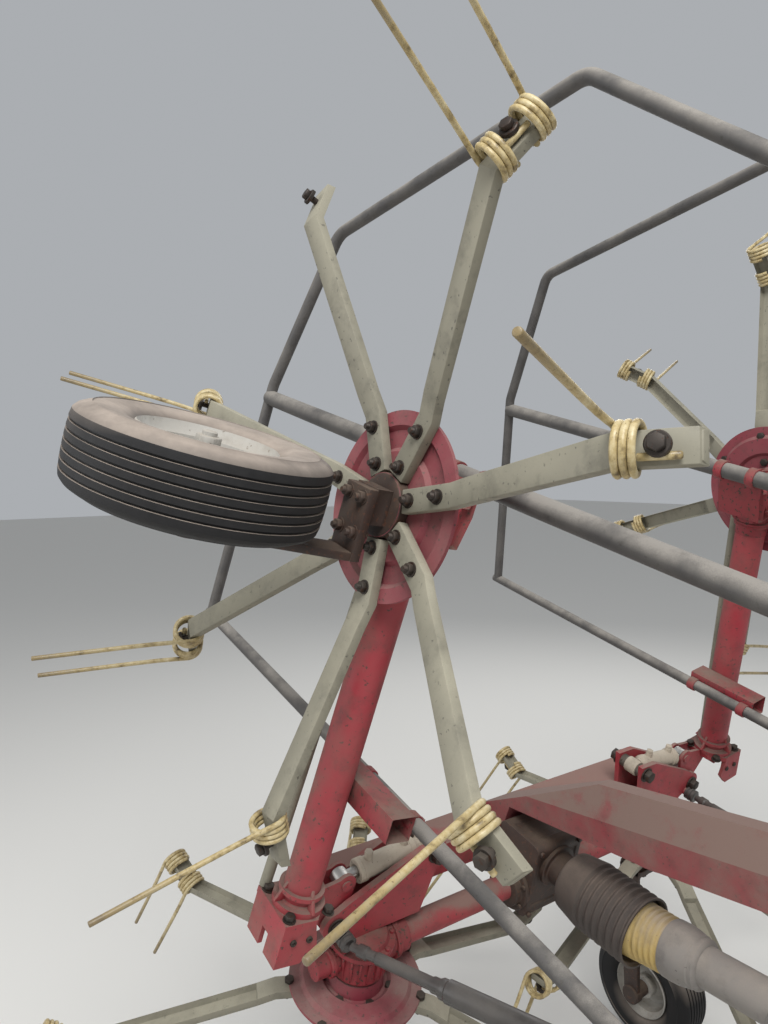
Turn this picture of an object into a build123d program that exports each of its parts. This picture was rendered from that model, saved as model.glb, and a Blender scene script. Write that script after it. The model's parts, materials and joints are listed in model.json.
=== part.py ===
from build123d import *
import os
from math import cos, radians, sin, sqrt, tan

os.makedirs("parts", exist_ok=True)

# Four-rotor rotary tedder with both wings folded up, in millimetres.
# +Y is the way the machine is towed, +X the machine's own right, +Z up, z = 0 the ground.

# Stance
nose_down = 14.8  # tilt of the rotor row about X
fold_angle = 100.0  # how far each wing is folded up from work
row_y = -322.0  # the rotor row's fold line, from the middle of the whole length
wheel_radius = 204.0  # wing wheels
wheel_width = 130.0
rim_radius = 106.0
inner_wheel_radius = 165.0  # the smaller wheels under the inner rotors
inner_wheel_width = 120.0
inner_rim_radius = 80.0
axle_radius = 14.0
hub_back = 38.0  # the wheel hub's ends from the wheel's middle
hub_front = 30.0

# Rotor row, measured in the tilted row frame whose z = 0 holds both fold pins
pivot_x = 631.0
inner_rotor_x = 545.0
drive_z = -111.0  # drive line below the fold pins
outer_disc_z = -170.0  # rotor disc below the fold pins
inner_disc_z = -190.0
outer_axle_drop = 350.0  # wheel axle below the disc
inner_axle_drop = 444.0
outer_wheel_trail = 40.0  # wheel axle behind the rotor's axis
inner_wheel_trail = -107.0
outer_rotor_x = 906.5  # outer rotor from its fold pin, in the wing's frame

# Rotor
arm_count = 7
outer_disc_radius = 175.0
inner_disc_radius = 150.0
disc_thickness = 7.0
hub_radius = 58.0
spindle_radius = 25.0
spindle_drop = 58.0  # its foot below the disc
running_gap = 0.3
arm_width = 42.0
arm_depth = 20.0
arm_wall = 4.0
arm_start = 60.0
arm_bend = 218.0
arm_bend_drop = 14.0
arm_kink = 561.0
arm_kink_drop = 112.0
arm_end_rise = 22.0  # degrees that the end piece turns back up
arm_end_length = 94.0
clamp_place = 54.0  # along the end piece
clamp_radius = 15.0
clamp_thickness = 7.0
bolt_radius = 6.0

# Tine
wire_radius = 4.75
coil_radius = 34.0
coil_length = 38.0
coil_centre = 37.0  # from the clamp, along the end piece
tine_length = 315.0
seat_gap = 0.3

# The wire between two coils passes beside the clamp bolt, in the coils' own wall
coil_wall = 2 * wire_radius + 0.6
coil_mean = coil_radius - coil_wall / 2
bridge_offset = bolt_radius + wire_radius + 1
bridge_depth = coil_radius + seat_gap - sqrt(coil_mean ** 2 - bridge_offset ** 2)

# Frame
cross_beam_side = 90.0
cross_beam_wall = 6.0
cross_beam_y = -130.0
cross_beam_z = -40.0
cross_beam_half = 600.0
drive_tube_radius = 30.0
gearbox_radius = 74.0
gearbox_top = 56.0  # above the drive line
input_z = -35.0  # input shaft of the middle gearbox, below the fold pins
input_radius = 17.5
input_reach = 180.0
boom_width = 110.0
boom_depth = 125.0
boom_rise = 6.0  # degrees
boom_low_z = 896.0  # its underside where it starts to rise
boom_crest = 44.0  # width of its top face, between two sloping faces
boom_shoulder = 70.0  # how far down the sloping faces reach
headstock_pin_z = 620.0
link_spacing = 825.0
link_pin_radius = 14.0
link_pin_length = 110.0
mast_height = 610.0
top_pin_radius = 12.75
swivel_y = 1300.0  # swivel axis ahead of the fold line
swivel_radius = 24.0
swivel_tube_radius = 42.0
swivel_low = 935.0
swivel_height = 200.0
stand_y = 1130.0
stand_side = 50.0
stand_sleeve_wall = 7.0
stand_sleeve_low = 900.0
stand_sleeve_height = 220.0
stand_leg_top = 1150.0
damper_back_x = 616.0
damper_back_z = -25.0
damper_front_x = 180.0
damper_lug = 60.0
damper_stud_radius = 8.0
damper_stud_reach = 28.0  # ahead of the front ear
damper_cup_radius = 19.0
damper_cup_wall = 8.0
damper_lug_gap = 16.0
saddle_thickness = 12.0
saddle_x = 400.0
saddle_end_x = 590.0
damper_radius = 22.0
damper_rod_radius = 11.0
damper_barrel = 560.0
knuckle_reach = 45.0
guard_tube_radius = 47.0
cone_radius = 68.0
front_cone_radius = 60.0
hook_y = 900.0
hook_wall = 8.0
shaft_end_y = 1560.0
bell_radius = 84.0
bell_length = 212.0
bell_start = 119.0
bell_dip = 8.7  # degrees below level
nose_radius = 43.0
nose_reach = 130.0
shaft_radius = 22.0

# Fold hinge: the ears and the wing's cheeks stand either side of the cylinder's middle
hinge_middle_y = -30.0
front_ear_y = 0.0
rear_ear_y = -80.0
ear_thickness = 14.0
ear_radius = 32.0
cheek_gap = 16.0
cheek_thickness = 9.0
cheek_radius = 28.0
housing_x = -20.0
housing_low = -170.0
housing_y = 60.0
housing_wall = 10.0

# Wing
wing_tube_radius = 38.0
wing_flange_x = 62.0
wing_flange_radius = 54.0
flange_thickness = 14.0
tie_bar_radius = 12.0
tie_bar_y = -60.0
guard_radius = 15.0
guard_mid_radius = 21.0
guard_inner_x = 330.0
guard_mid_x = 985.0

# Fold cylinder
eye_x = 82.0  # rod eye from the fold pin, in the wing's frame
eye_z = 12.0
cylinder_base_x = 380.0
cylinder_base_z = 96.0
base_eye_reach = 40.0
base_eye_half = 18.0
base_pin_radius = 12.0
rod_eye_half = 13.0
barrel_radius = 24.0
barrel_head = 38.0  # from its end to the closed rod's eye
rod_radius = 12.0
fold_pin_radius = 14.0

# Where the first arm of each rotor stands, in degrees from outboard towards the front
phase_outer_right = 325.5
phase_inner_right = 29.5
phase_inner_left = 12.5
phase_outer_left = 33.5

# Which tines each arm still has: inner, outer
full_set = [(True, True)] * arm_count
worn_outer_right = [(False, False), (True, True), (True, False), (True, False), (True, False), (True, True),
                    (True, True)]
worn_inner_right = [(True, True), (True, True), (True, True), (False, False), (True, True), (True, True),
                    (True, True)]

tilt = radians(nose_down)
row_up = (0, sin(tilt), cos(tilt))
stand_x = -(boom_width + stand_side) / 2 - stand_sleeve_wall + 0.5
pivot_height = inner_wheel_radius + (inner_axle_drop - inner_disc_z) * cos(tilt) - inner_wheel_trail * sin(tilt)
row = Plane(origin=(0, row_y, pivot_height), x_dir=(1, 0, 0), z_dir=row_up)
wing = Plane(row.location * Location((pivot_x, 0, 0), (0, -fold_angle, 0)))

ALONG_X = (0, 90, 0)
ALONG_Y = (-90, 0, 0)
FACE_Y = (90, 0, 0)


def spot(frame, x=0.0, y=0.0, z=0.0, turn=(0, 0, 0)):
    """A plane at a place in one of the frames, its normal turned from the frame's z."""
    return Plane(frame.location * Location((x, y, z), turn))


def save(part, label):
    part.label = label
    export_step(part, f"parts/{label}.step")


def save_pair(part, label):
    """Writes the right-hand piece and its mirror image on the left."""
    save(part, f"{label}_right")
    with BuildPart() as other:
        add(mirror(part, about=Plane.YZ))
    save(other.part, f"{label}_left")


def point(frame, x, y, z):
    return frame.from_local_coords(Vector(x, y, z))


def tube(frame, points, radius, bends):
    """A round bar along a bent route given in a frame."""
    route = [point(frame, *p) for p in points]
    with BuildPart() as bar:
        with BuildLine() as path:
            if len(route) == 2:
                Line(route[0], route[1])
            else:
                FilletPolyline(*route, radius=bends)
        start = path.line
        with BuildSketch(Plane(origin=start @ 0, z_dir=start % 0)):
            Circle(radius)
        sweep(path=path.line)
    return bar.part


# Rotor pieces, each in its own rotor frame with z = 0 on the disc's plane

def rotor_disc(frame, edge, drive_up):
    """The dished disc with stepped rings, on a bored hub."""
    top = drive_up - gearbox_radius * 0.62
    with BuildPart() as disc:
        with BuildSketch(spot(frame, turn=FACE_Y)):
            with BuildLine():
                Polyline(
                    (spindle_radius + running_gap, -24), (hub_radius, -24), (hub_radius, -2),
                    (edge - 75, -2), (edge - 67, 6), (edge - 35, 6), (edge - 27, -2), (edge, -2),
                    (edge, disc_thickness - 2), (edge - 23, disc_thickness - 2), (edge - 31, disc_thickness + 6),
                    (edge - 71, disc_thickness + 6), (edge - 79, disc_thickness - 2),
                    (hub_radius + 6, disc_thickness - 2),
                    (hub_radius, top), (spindle_radius + running_gap, top), close=True)
            make_face()
        revolve(axis=Axis(frame.origin, frame.z_dir))
    return disc.part


def arm_outline(depth_from, depth_to, start, end):
    """Side view of an arm between two depths under its top face, bent at two places."""
    rise = tan(radians(arm_end_rise))
    tip_r = arm_kink + arm_end_length * cos(radians(arm_end_rise))
    tip_z = -arm_kink_drop + arm_end_length * sin(radians(arm_end_rise))
    upper = [(start, -depth_from), (arm_bend - 40, -depth_from), (arm_bend, -arm_bend_drop - depth_from),
             (arm_kink, -arm_kink_drop - depth_from), (tip_r + end, tip_z - depth_from + end * rise)]
    lower = [(r, z + depth_from - depth_to) for r, z in reversed(upper)]
    return upper + lower


def rotor_arms(frame, phase):
    """Seven bent channel arms, each with its clamp bolt and cap."""
    drop = 2
    with BuildPart() as arms:
        for k in range(arm_count):
            turn = phase + k * 360 / arm_count
            hub = spot(frame, z=-drop, turn=(0, 0, turn))
            with BuildSketch(spot(hub, turn=FACE_Y)):
                Polygon(*arm_outline(0, arm_depth, arm_start, 0), align=None)
            extrude(amount=arm_width / 2, both=True)
            with BuildSketch(spot(hub, turn=FACE_Y)):
                Polygon(*arm_outline(-1, arm_depth - arm_wall, arm_start + 130, 5), align=None)
            extrude(amount=arm_width / 2 - arm_wall, both=True, mode=Mode.SUBTRACT)
            seat = end_seat(hub)
            with BuildSketch(seat):
                Circle(bolt_radius)
            extrude(amount=bridge_depth + wire_radius + seat_gap)
            with BuildSketch(spot(seat, z=bridge_depth + wire_radius + seat_gap)):
                Circle(clamp_radius)
            extrude(amount=clamp_thickness)
    return arms.part


def end_seat(hub):
    """The under face of an end piece at its clamp: x outward along the piece, normal away from the arm."""
    angle = radians(arm_end_rise)
    r = arm_kink + clamp_place * cos(angle)
    z = -arm_kink_drop + clamp_place * sin(angle) - arm_depth
    at = point(hub, r, 0, z)
    out = point(hub, r + cos(angle), 0, z + sin(angle)) - at
    down = point(hub, r + sin(angle), 0, z - cos(angle)) - at
    return Plane(origin=at, x_dir=out, z_dir=down)


def rotor_tines(frame, phase, fitted, trail):
    """Spring tines under the end pieces: a coil each side of the clamp and a leg square to the coil."""
    with BuildPart() as tines:
        for k in range(arm_count):
            hub = spot(frame, z=-2, turn=(0, 0, phase + k * 360 / arm_count))
            seat = end_seat(hub)
            for side, there in zip((-1, 1), fitted[k]):
                if not there:
                    continue
                middle = spot(seat, x=side * coil_centre, z=coil_radius + seat_gap, turn=ALONG_X)
                with BuildSketch(spot(middle, z=-coil_length / 2)):
                    Circle(coil_radius)
                    Circle(coil_radius - coil_wall, mode=Mode.SUBTRACT)
                extrude(amount=coil_length)
                far = side * (coil_centre + coil_length / 2 - coil_wall / 2)
                leg = spot(seat, x=far, y=trail * coil_mean, z=coil_radius + seat_gap)
                with BuildSketch(leg):
                    Circle(wire_radius)
                extrude(amount=tine_length)
            if any(fitted[k]):
                first = -coil_centre if fitted[k][0] else 0
                last = coil_centre if fitted[k][1] else 0
                bridge = spot(seat, x=first, y=-trail * bridge_offset, z=bridge_depth, turn=ALONG_X)
                with BuildSketch(bridge):
                    Circle(wire_radius)
                extrude(amount=last - first)
    return tines.part


outer_rotor = spot(wing, outer_rotor_x, 0, outer_disc_z)
inner_rotor = spot(row, inner_rotor_x, 0, inner_disc_z)
rotors = {
    "outer_right": (outer_rotor, phase_outer_right, worn_outer_right, 1, False),
    "inner_right": (inner_rotor, phase_inner_right, worn_inner_right, -1, False),
    "inner_left": (inner_rotor, phase_inner_left, full_set, -1, True),
    "outer_left": (outer_rotor, phase_outer_left, full_set, 1, True),
}
disc_sizes = {
    "outer": (outer_disc_radius, drive_z - outer_disc_z),
    "inner": (inner_disc_radius, drive_z - inner_disc_z),
}
for name, (frame, phase, fitted, trail, mirrored) in rotors.items():
    made = {
        "disc": rotor_disc(frame, *disc_sizes[name.split("_")[0]]),
        "arms": rotor_arms(frame, phase),
        "tines": rotor_tines(frame, phase, fitted, trail),
    }
    for piece, part in made.items():
        with BuildPart() as out:
            add(mirror(part, about=Plane.YZ) if mirrored else part)
        save(out.part, f"rotor_{name}_{piece}")


# Wheels and the legs that carry them under the rotors

def tyre(axle, radius, width, seat):
    """Ribbed implement tyre: straight grooved tread, round shoulders, bore on the rim."""
    half = width / 2
    shoulder = 26
    wall_start = seat + 34
    bead = half - 22
    groove_depth = 3.5
    groove_width = 6
    pitch = (width - 2 * shoulder) * 0.23
    with BuildPart() as ring:
        with BuildSketch(spot(axle, turn=FACE_Y)):
            with BuildLine():
                Polyline((seat, -bead), (seat, bead), (wall_start, half), (radius - shoulder, half))
                RadiusArc((radius - shoulder, half), (radius, half - shoulder), -shoulder)
                Line((radius, half - shoulder), (radius, -half + shoulder))
                RadiusArc((radius, -half + shoulder), (radius - shoulder, -half), -shoulder)
                Polyline((radius - shoulder, -half), (wall_start, -half), (seat, -bead))
            make_face()
            with Locations((radius, 0)):
                with GridLocations(0, pitch, 1, 5):
                    Rectangle(2 * groove_depth, groove_width, mode=Mode.SUBTRACT)
        revolve(axis=Axis(axle.origin, axle.z_dir))
    return ring.part


def rim(axle, seat, width):
    """Dished rim with a hub barrel, closed by its disc."""
    half = width / 2
    out = seat - seat_gap
    shell = out - 6
    bore = axle_radius + running_gap
    with BuildPart() as dish:
        with BuildSketch(spot(axle, turn=FACE_Y)):
            with BuildLine():
                Polyline((bore, -hub_back), (32, -hub_back), (32, -6), (out - 32, 10), (shell, 10), (shell, -half + 26),
                         (out, -half + 26), (out, half - 22), (shell, half - 22), (shell, 16), (out - 34, 16),
                         (32, 0), (32, hub_front), (bore, hub_front), close=True)
            make_face()
        revolve(axis=Axis(axle.origin, axle.z_dir))
    return dish.part


def wheel_leg(rotor, drop, trail, width):
    """Foot plate under the rotor's spindle, offset leg beside the tyre and the stub axle."""
    leg_x = -(width / 2 + 32)
    foot_half = 36
    foot_thickness = 22
    plate_x = leg_x + 12
    plate_thickness = 16
    with BuildPart() as leg:
        with BuildSketch(spot(rotor, (leg_x - 20 + spindle_radius + 9) / 2, 0, -spindle_drop)):
            Rectangle(spindle_radius + 9 - leg_x + 20, 2 * foot_half)
        extrude(amount=-foot_thickness)
        with BuildSketch(spot(rotor, x=plate_x, turn=ALONG_X)):
            with BuildLine():
                Polyline((spindle_drop + foot_thickness, -34), (spindle_drop + foot_thickness, 34),
                         (drop - 10, -trail + 26), (drop + 30, -trail + 10), (drop + 30, -trail - 16),
                         (drop, -trail - 30), close=True)
            make_face()
        extrude(amount=-plate_thickness)
        with BuildSketch(spot(rotor, x=plate_x, y=-trail, z=-drop, turn=ALONG_X)):
            Circle(axle_radius)
        extrude(amount=hub_front + 14 - plate_x)
        with BuildSketch(spot(rotor, x=plate_x, y=-trail, z=-drop, turn=ALONG_X)):
            Circle(axle_radius + 10)
        extrude(amount=-hub_back - 5 - plate_x)
        with BuildSketch(spot(rotor, x=hub_front + 5, y=-trail, z=-drop, turn=ALONG_X)):
            Circle(axle_radius + 6)
        extrude(amount=9)
    return leg.part


wheel_sites = {
    "outer": (outer_rotor, outer_axle_drop, outer_wheel_trail, wheel_radius, wheel_width, rim_radius),
    "inner": (inner_rotor, inner_axle_drop, inner_wheel_trail, inner_wheel_radius, inner_wheel_width, inner_rim_radius),
}
for name, (rotor, drop, trail, radius, width, seat) in wheel_sites.items():
    axle = spot(rotor, 0, -trail, -drop, ALONG_X)
    save_pair(tyre(axle, radius, width, seat), f"tyre_{name}")
    save_pair(rim(axle, seat, width), f"rim_{name}")
    save_pair(wheel_leg(rotor, drop, trail, width), f"wheel_leg_{name}")


# Gearboxes

def gearbox(rotor, mid, tube_side):
    """Bevel gearbox over a rotor: ribbed casting, flanged necks, and the fixed spindle below it."""
    low = mid - gearbox_radius * 0.62 + 5
    high = mid + gearbox_top
    with BuildPart() as box:
        with BuildSketch(spot(rotor, turn=FACE_Y)):
            with BuildLine():
                Polyline((0, -spindle_drop), (spindle_radius, -spindle_drop), (spindle_radius, low),
                         (gearbox_radius - 14, low),
                         (gearbox_radius, low + 16), (gearbox_radius, high - 20), (gearbox_radius - 20, high - 4),
                         (34, high), (0, high), close=True)
            make_face()
        revolve(axis=Axis(rotor.origin, rotor.z_dir))
        for side, reach, radius in tube_side:
            with BuildSketch(spot(rotor, z=mid, turn=ALONG_X)):
                Circle(radius)
            extrude(amount=side * reach)
            with BuildSketch(spot(rotor, x=side * (gearbox_radius + 2), z=mid, turn=ALONG_X)):
                Circle(radius + 6)
            extrude(amount=side * 12)
    return box.part


stub_reach = pivot_x - inner_rotor_x + 34
neck_reach = gearbox_radius + 40
neck_radius = 40
stub_radius = 24
save_pair(gearbox(outer_rotor, drive_z - outer_disc_z, [(-1, neck_reach, neck_radius)]), "gearbox_outer")
save_pair(gearbox(inner_rotor, drive_z - inner_disc_z, [(-1, neck_reach, neck_radius), (1, stub_reach, stub_radius)]),
          "gearbox_inner")

# Cross beam with the boom's foot behind the drive line
with BuildPart() as cross_beam:
    with BuildSketch(spot(row, -cross_beam_half, cross_beam_y, cross_beam_z, ALONG_X)):
        Rectangle(cross_beam_side, cross_beam_side)
        Rectangle(cross_beam_side - 2 * cross_beam_wall, cross_beam_side - 2 * cross_beam_wall, mode=Mode.SUBTRACT)
    extrude(amount=2 * cross_beam_half)
save(cross_beam.part, "cross_beam")

# Drive tubes between the middle gearbox and the two inner ones
with BuildPart() as drive_tubes:
    inner_end = inner_rotor_x - neck_reach
    with BuildSketch(spot(row, 110, 0, drive_z, ALONG_X)):
        Circle(drive_tube_radius)
    extrude(amount=inner_end - 110)
    with BuildSketch(spot(row, -inner_end, 0, drive_z, ALONG_X)):
        Circle(drive_tube_radius)
    extrude(amount=inner_end - 110)
save(drive_tubes.part, "drive_tubes")

with BuildPart() as centre_gearbox:
    back_y = cross_beam_y + cross_beam_side / 2
    with BuildSketch(spot(row, -80, 0, 0, ALONG_X)):
        with BuildLine():
            Polyline((40, back_y), (40, -60), (-20, -60), (-34, -44), (-34, 44), (-20, 62), (150, 62), (172, 40),
                     (172, -52), (150, -74), (75, -74), (75, back_y), close=True)
        make_face()
    extrude(amount=160)
    with BuildSketch(spot(row, -110, 0, drive_z, ALONG_X)):
        Circle(48)
    extrude(amount=220)
    with BuildSketch(spot(row, 0, 0, input_z, ALONG_Y)):
        Circle(nose_radius)
    extrude(amount=nose_reach)
    with BuildSketch(spot(row, 0, 0, input_z, ALONG_Y)):
        Circle(input_radius)
    extrude(amount=input_reach)
save(centre_gearbox.part, "centre_gearbox")

# Hinge brackets: two ears on a saddle in front of the cross beam, with the damper's stud
saddle_z = drive_z + gearbox_top
with BuildPart() as hinge_side:
    front_y = cross_beam_y + cross_beam_side / 2
    ear_face = front_ear_y + ear_thickness
    with BuildSketch(spot(row, (saddle_x + saddle_end_x) / 2, (front_y + ear_face) / 2, saddle_z)):
        Rectangle(saddle_end_x - saddle_x, ear_face - front_y)
    extrude(amount=saddle_thickness)
    for y in (front_ear_y, rear_ear_y):
        with BuildSketch(spot(row, 0, y + ear_thickness, 0, FACE_Y)):
            with BuildLine():
                Polyline((cylinder_base_x - 25, cylinder_base_z + 25), (saddle_x, saddle_z), (560, saddle_z),
                         (600, -ear_radius), (pivot_x, -ear_radius), (pivot_x, ear_radius), (606, 46),
                         (cylinder_base_x + 40, cylinder_base_z + 25), close=True)
            make_face()
            with Locations((pivot_x, 0)):
                Circle(ear_radius)
                Circle(fold_pin_radius, mode=Mode.SUBTRACT)
            with Locations((cylinder_base_x, cylinder_base_z)):
                Circle(base_pin_radius, mode=Mode.SUBTRACT)
        extrude(amount=ear_thickness)
    with BuildSketch(spot(row, damper_back_x, ear_face, damper_back_z, ALONG_Y)):
        Circle(damper_stud_radius + 4)
    extrude(amount=4)
    with BuildSketch(spot(row, damper_back_x, ear_face, damper_back_z, ALONG_Y)):
        Circle(damper_stud_radius)
    extrude(amount=damper_stud_reach)
with BuildPart() as hinge_brackets:
    add(hinge_side.part)
    add(mirror(hinge_side.part, about=Plane.YZ))
save(hinge_brackets.part, "hinge_brackets")

# Wing hinge block: two cheeks on the fold pin, a flange plate and the housing that drops over the drive
cheek_backs = (hinge_middle_y + cheek_gap, hinge_middle_y - cheek_gap - cheek_thickness)
with BuildPart() as hinge_block:
    for y in cheek_backs:
        with BuildSketch(spot(wing, 0, y + cheek_thickness, 0, FACE_Y)):
            with BuildLine():
                Polyline((0, cheek_radius), (eye_x, eye_z + 24), (eye_x + 24, eye_z), (96, -10), (84, -54), (76, -56),
                         (70, -96), (62, -96), (-20, -20), close=True)
            make_face()
            Circle(cheek_radius)
            with Locations((eye_x, eye_z)):
                Circle(24)
            Circle(fold_pin_radius + running_gap, mode=Mode.SUBTRACT)
        extrude(amount=cheek_thickness)
    for y in (housing_y, -housing_y + housing_wall):
        with BuildSketch(spot(wing, 0, y, 0, FACE_Y)):
            with BuildLine():
                Polyline((wing_flange_x + 3, housing_low), (wing_flange_x + 2, -96), (16, -81), (housing_x, -111),
                         (housing_x, housing_low), close=True)
            make_face()
        extrude(amount=housing_wall)
    with BuildSketch(spot(wing, (housing_x + wing_flange_x) / 2, 0, housing_low)):
        Rectangle(wing_flange_x - housing_x, 2 * housing_y)
        with Locations((-22, 0)):
            Rectangle(46, 24, mode=Mode.SUBTRACT)
    extrude(amount=housing_wall)
    with BuildSketch(spot(wing, wing_flange_x, 0, 0, ALONG_X)):
        with BuildLine():
            Polyline((-housing_low, housing_y), (96, housing_y), (60, 20), (60, -62), (-housing_low, -62), close=True)
        make_face()
    extrude(amount=flange_thickness)
    for y in (cheek_backs[0] + cheek_thickness, cheek_backs[1]):
        with BuildSketch(spot(wing, eye_x, y, eye_z, ALONG_Y)):
            Circle(base_pin_radius)
        extrude(amount=4 if y > hinge_middle_y else -4)
save_pair(hinge_block.part, "hinge_block")

# Fold pins and the cylinders' base pins, both held in the ears
pin_low = rear_ear_y - 4
pin_length = ear_face + 2 - pin_low
with BuildPart() as fold_pins:
    for x in (pivot_x, -pivot_x):
        with BuildSketch(spot(row, x, pin_low, 0, ALONG_Y)):
            Circle(fold_pin_radius)
        extrude(amount=pin_length)
save(fold_pins.part, "fold_pins")
with BuildPart() as cylinder_pins:
    for x in (cylinder_base_x, -cylinder_base_x):
        with BuildSketch(spot(row, x, pin_low, cylinder_base_z, ALONG_Y)):
            Circle(base_pin_radius)
        extrude(amount=pin_length)
        for low, high in ((rear_ear_y + ear_thickness, hinge_middle_y - base_eye_half - 1),
                          (hinge_middle_y + base_eye_half + 1, front_ear_y)):
            with BuildSketch(spot(row, x, low, cylinder_base_z, ALONG_Y)):
                Circle(base_pin_radius + 6)
            extrude(amount=high - low)
save(cylinder_pins.part, "cylinder_pins")

# Wing tube with its flange and collar
with BuildPart() as wing_tube:
    with BuildSketch(spot(wing, wing_flange_x + flange_thickness, 0, drive_z, ALONG_X)):
        Circle(wing_flange_radius)
    extrude(amount=12)
    with BuildSketch(spot(wing, wing_flange_x + flange_thickness, 0, drive_z, ALONG_X)):
        Circle(wing_tube_radius)
    extrude(amount=outer_rotor_x - neck_reach - wing_flange_x - flange_thickness)
    with BuildSketch(spot(wing, wing_flange_x + 44, 0, drive_z, ALONG_X)):
        Circle(wing_tube_radius + 9)
    extrude(amount=9)
save_pair(wing_tube.part, "wing_tube")

# Wing guard: a tube hoop round the rotor, with a stouter tube across it
hoop = [(guard_inner_x, -880), (1020, -866), (1440, -730), (1735, -20), (1440, 700), (1020, 790), (guard_inner_x, 800)]
with BuildPart() as wing_guard:
    add(tube(wing, [(x, y, 0) for x, y in hoop], guard_radius, 60))
    add(tube(wing, [(guard_inner_x, -880 - guard_radius, 0), (guard_inner_x, 800 + guard_radius, 0)],
             guard_radius, 0))
    add(tube(wing, [(guard_mid_x, -867, 0), (guard_mid_x, 791, 0)], guard_mid_radius, 0))
save_pair(wing_guard.part, "wing_guard")

with BuildPart() as guard_brackets:
    tube_top = drive_z + wing_tube_radius + seat_gap
    with BuildSketch(spot(wing, guard_inner_x, -150, 0, ALONG_Y)):
        with Locations((0, (guard_radius + seat_gap - tube_top) / 2)):
            Rectangle(52, -guard_radius - seat_gap - tube_top)
    extrude(amount=300)
    plate_low = drive_z + gearbox_top + seat_gap
    with BuildSketch(spot(wing, 0, -60, 0, ALONG_Y)):
        with BuildLine():
            Polyline((outer_rotor_x - 50, -plate_low), (outer_rotor_x + 30, -plate_low),
                     (guard_mid_x + 30, guard_mid_radius + seat_gap), (outer_rotor_x - 10, guard_mid_radius + seat_gap),
                     close=True)
        make_face()
    extrude(amount=120)
save_pair(guard_brackets.part, "guard_brackets")

# Tie bar beside the wing tube, from the gearbox to the hinge block
with BuildPart() as tie_bar:
    tie_end = sqrt(gearbox_radius ** 2 - (-tie_bar_y - tie_bar_radius) ** 2) + 2 * seat_gap
    add(tube(wing, [(wing_flange_x + flange_thickness + seat_gap, tie_bar_y, drive_z - 45),
                    (outer_rotor_x - tie_end, tie_bar_y, drive_z - 15)], tie_bar_radius, 0))
save_pair(tie_bar.part, "tie_bar")

# Fold cylinders
base = spot(row, cylinder_base_x, hinge_middle_y, cylinder_base_z)
folded_eye = point(wing, eye_x, hinge_middle_y, eye_z)
closed_length = (folded_eye - base.origin).length
reach = Plane(origin=base.origin, x_dir=folded_eye - base.origin, z_dir=row.y_dir)
barrel_end = closed_length - barrel_head
rod_start = base_eye_reach + 6
with BuildPart() as fold_barrel:
    with BuildSketch(spot(reach, x=base_eye_reach, turn=ALONG_X)):
        Circle(barrel_radius)
    extrude(amount=barrel_end - base_eye_reach)
    with BuildSketch(spot(reach, x=rod_start - 1, turn=ALONG_X)):
        Circle(rod_radius + running_gap)
    extrude(amount=closed_length, mode=Mode.SUBTRACT)
    with BuildSketch(spot(reach, z=-base_eye_half)):
        Circle(22)
        with Locations((base_eye_reach / 2 + 1, 0)):
            Rectangle(base_eye_reach + 2, 36)
        Circle(base_pin_radius + running_gap, mode=Mode.SUBTRACT)
    extrude(amount=2 * base_eye_half)
save_pair(fold_barrel.part, "fold_barrel")
with BuildPart() as fold_rod:
    with BuildSketch(spot(reach, x=rod_start, turn=ALONG_X)):
        Circle(rod_radius)
    extrude(amount=closed_length - rod_start - 15)
    with BuildSketch(spot(reach, x=closed_length, z=-rod_eye_half)):
        Circle(20)
        Circle(base_pin_radius, mode=Mode.SUBTRACT)
    extrude(amount=2 * rod_eye_half)
save_pair(fold_rod.part, "fold_rod")

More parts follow.
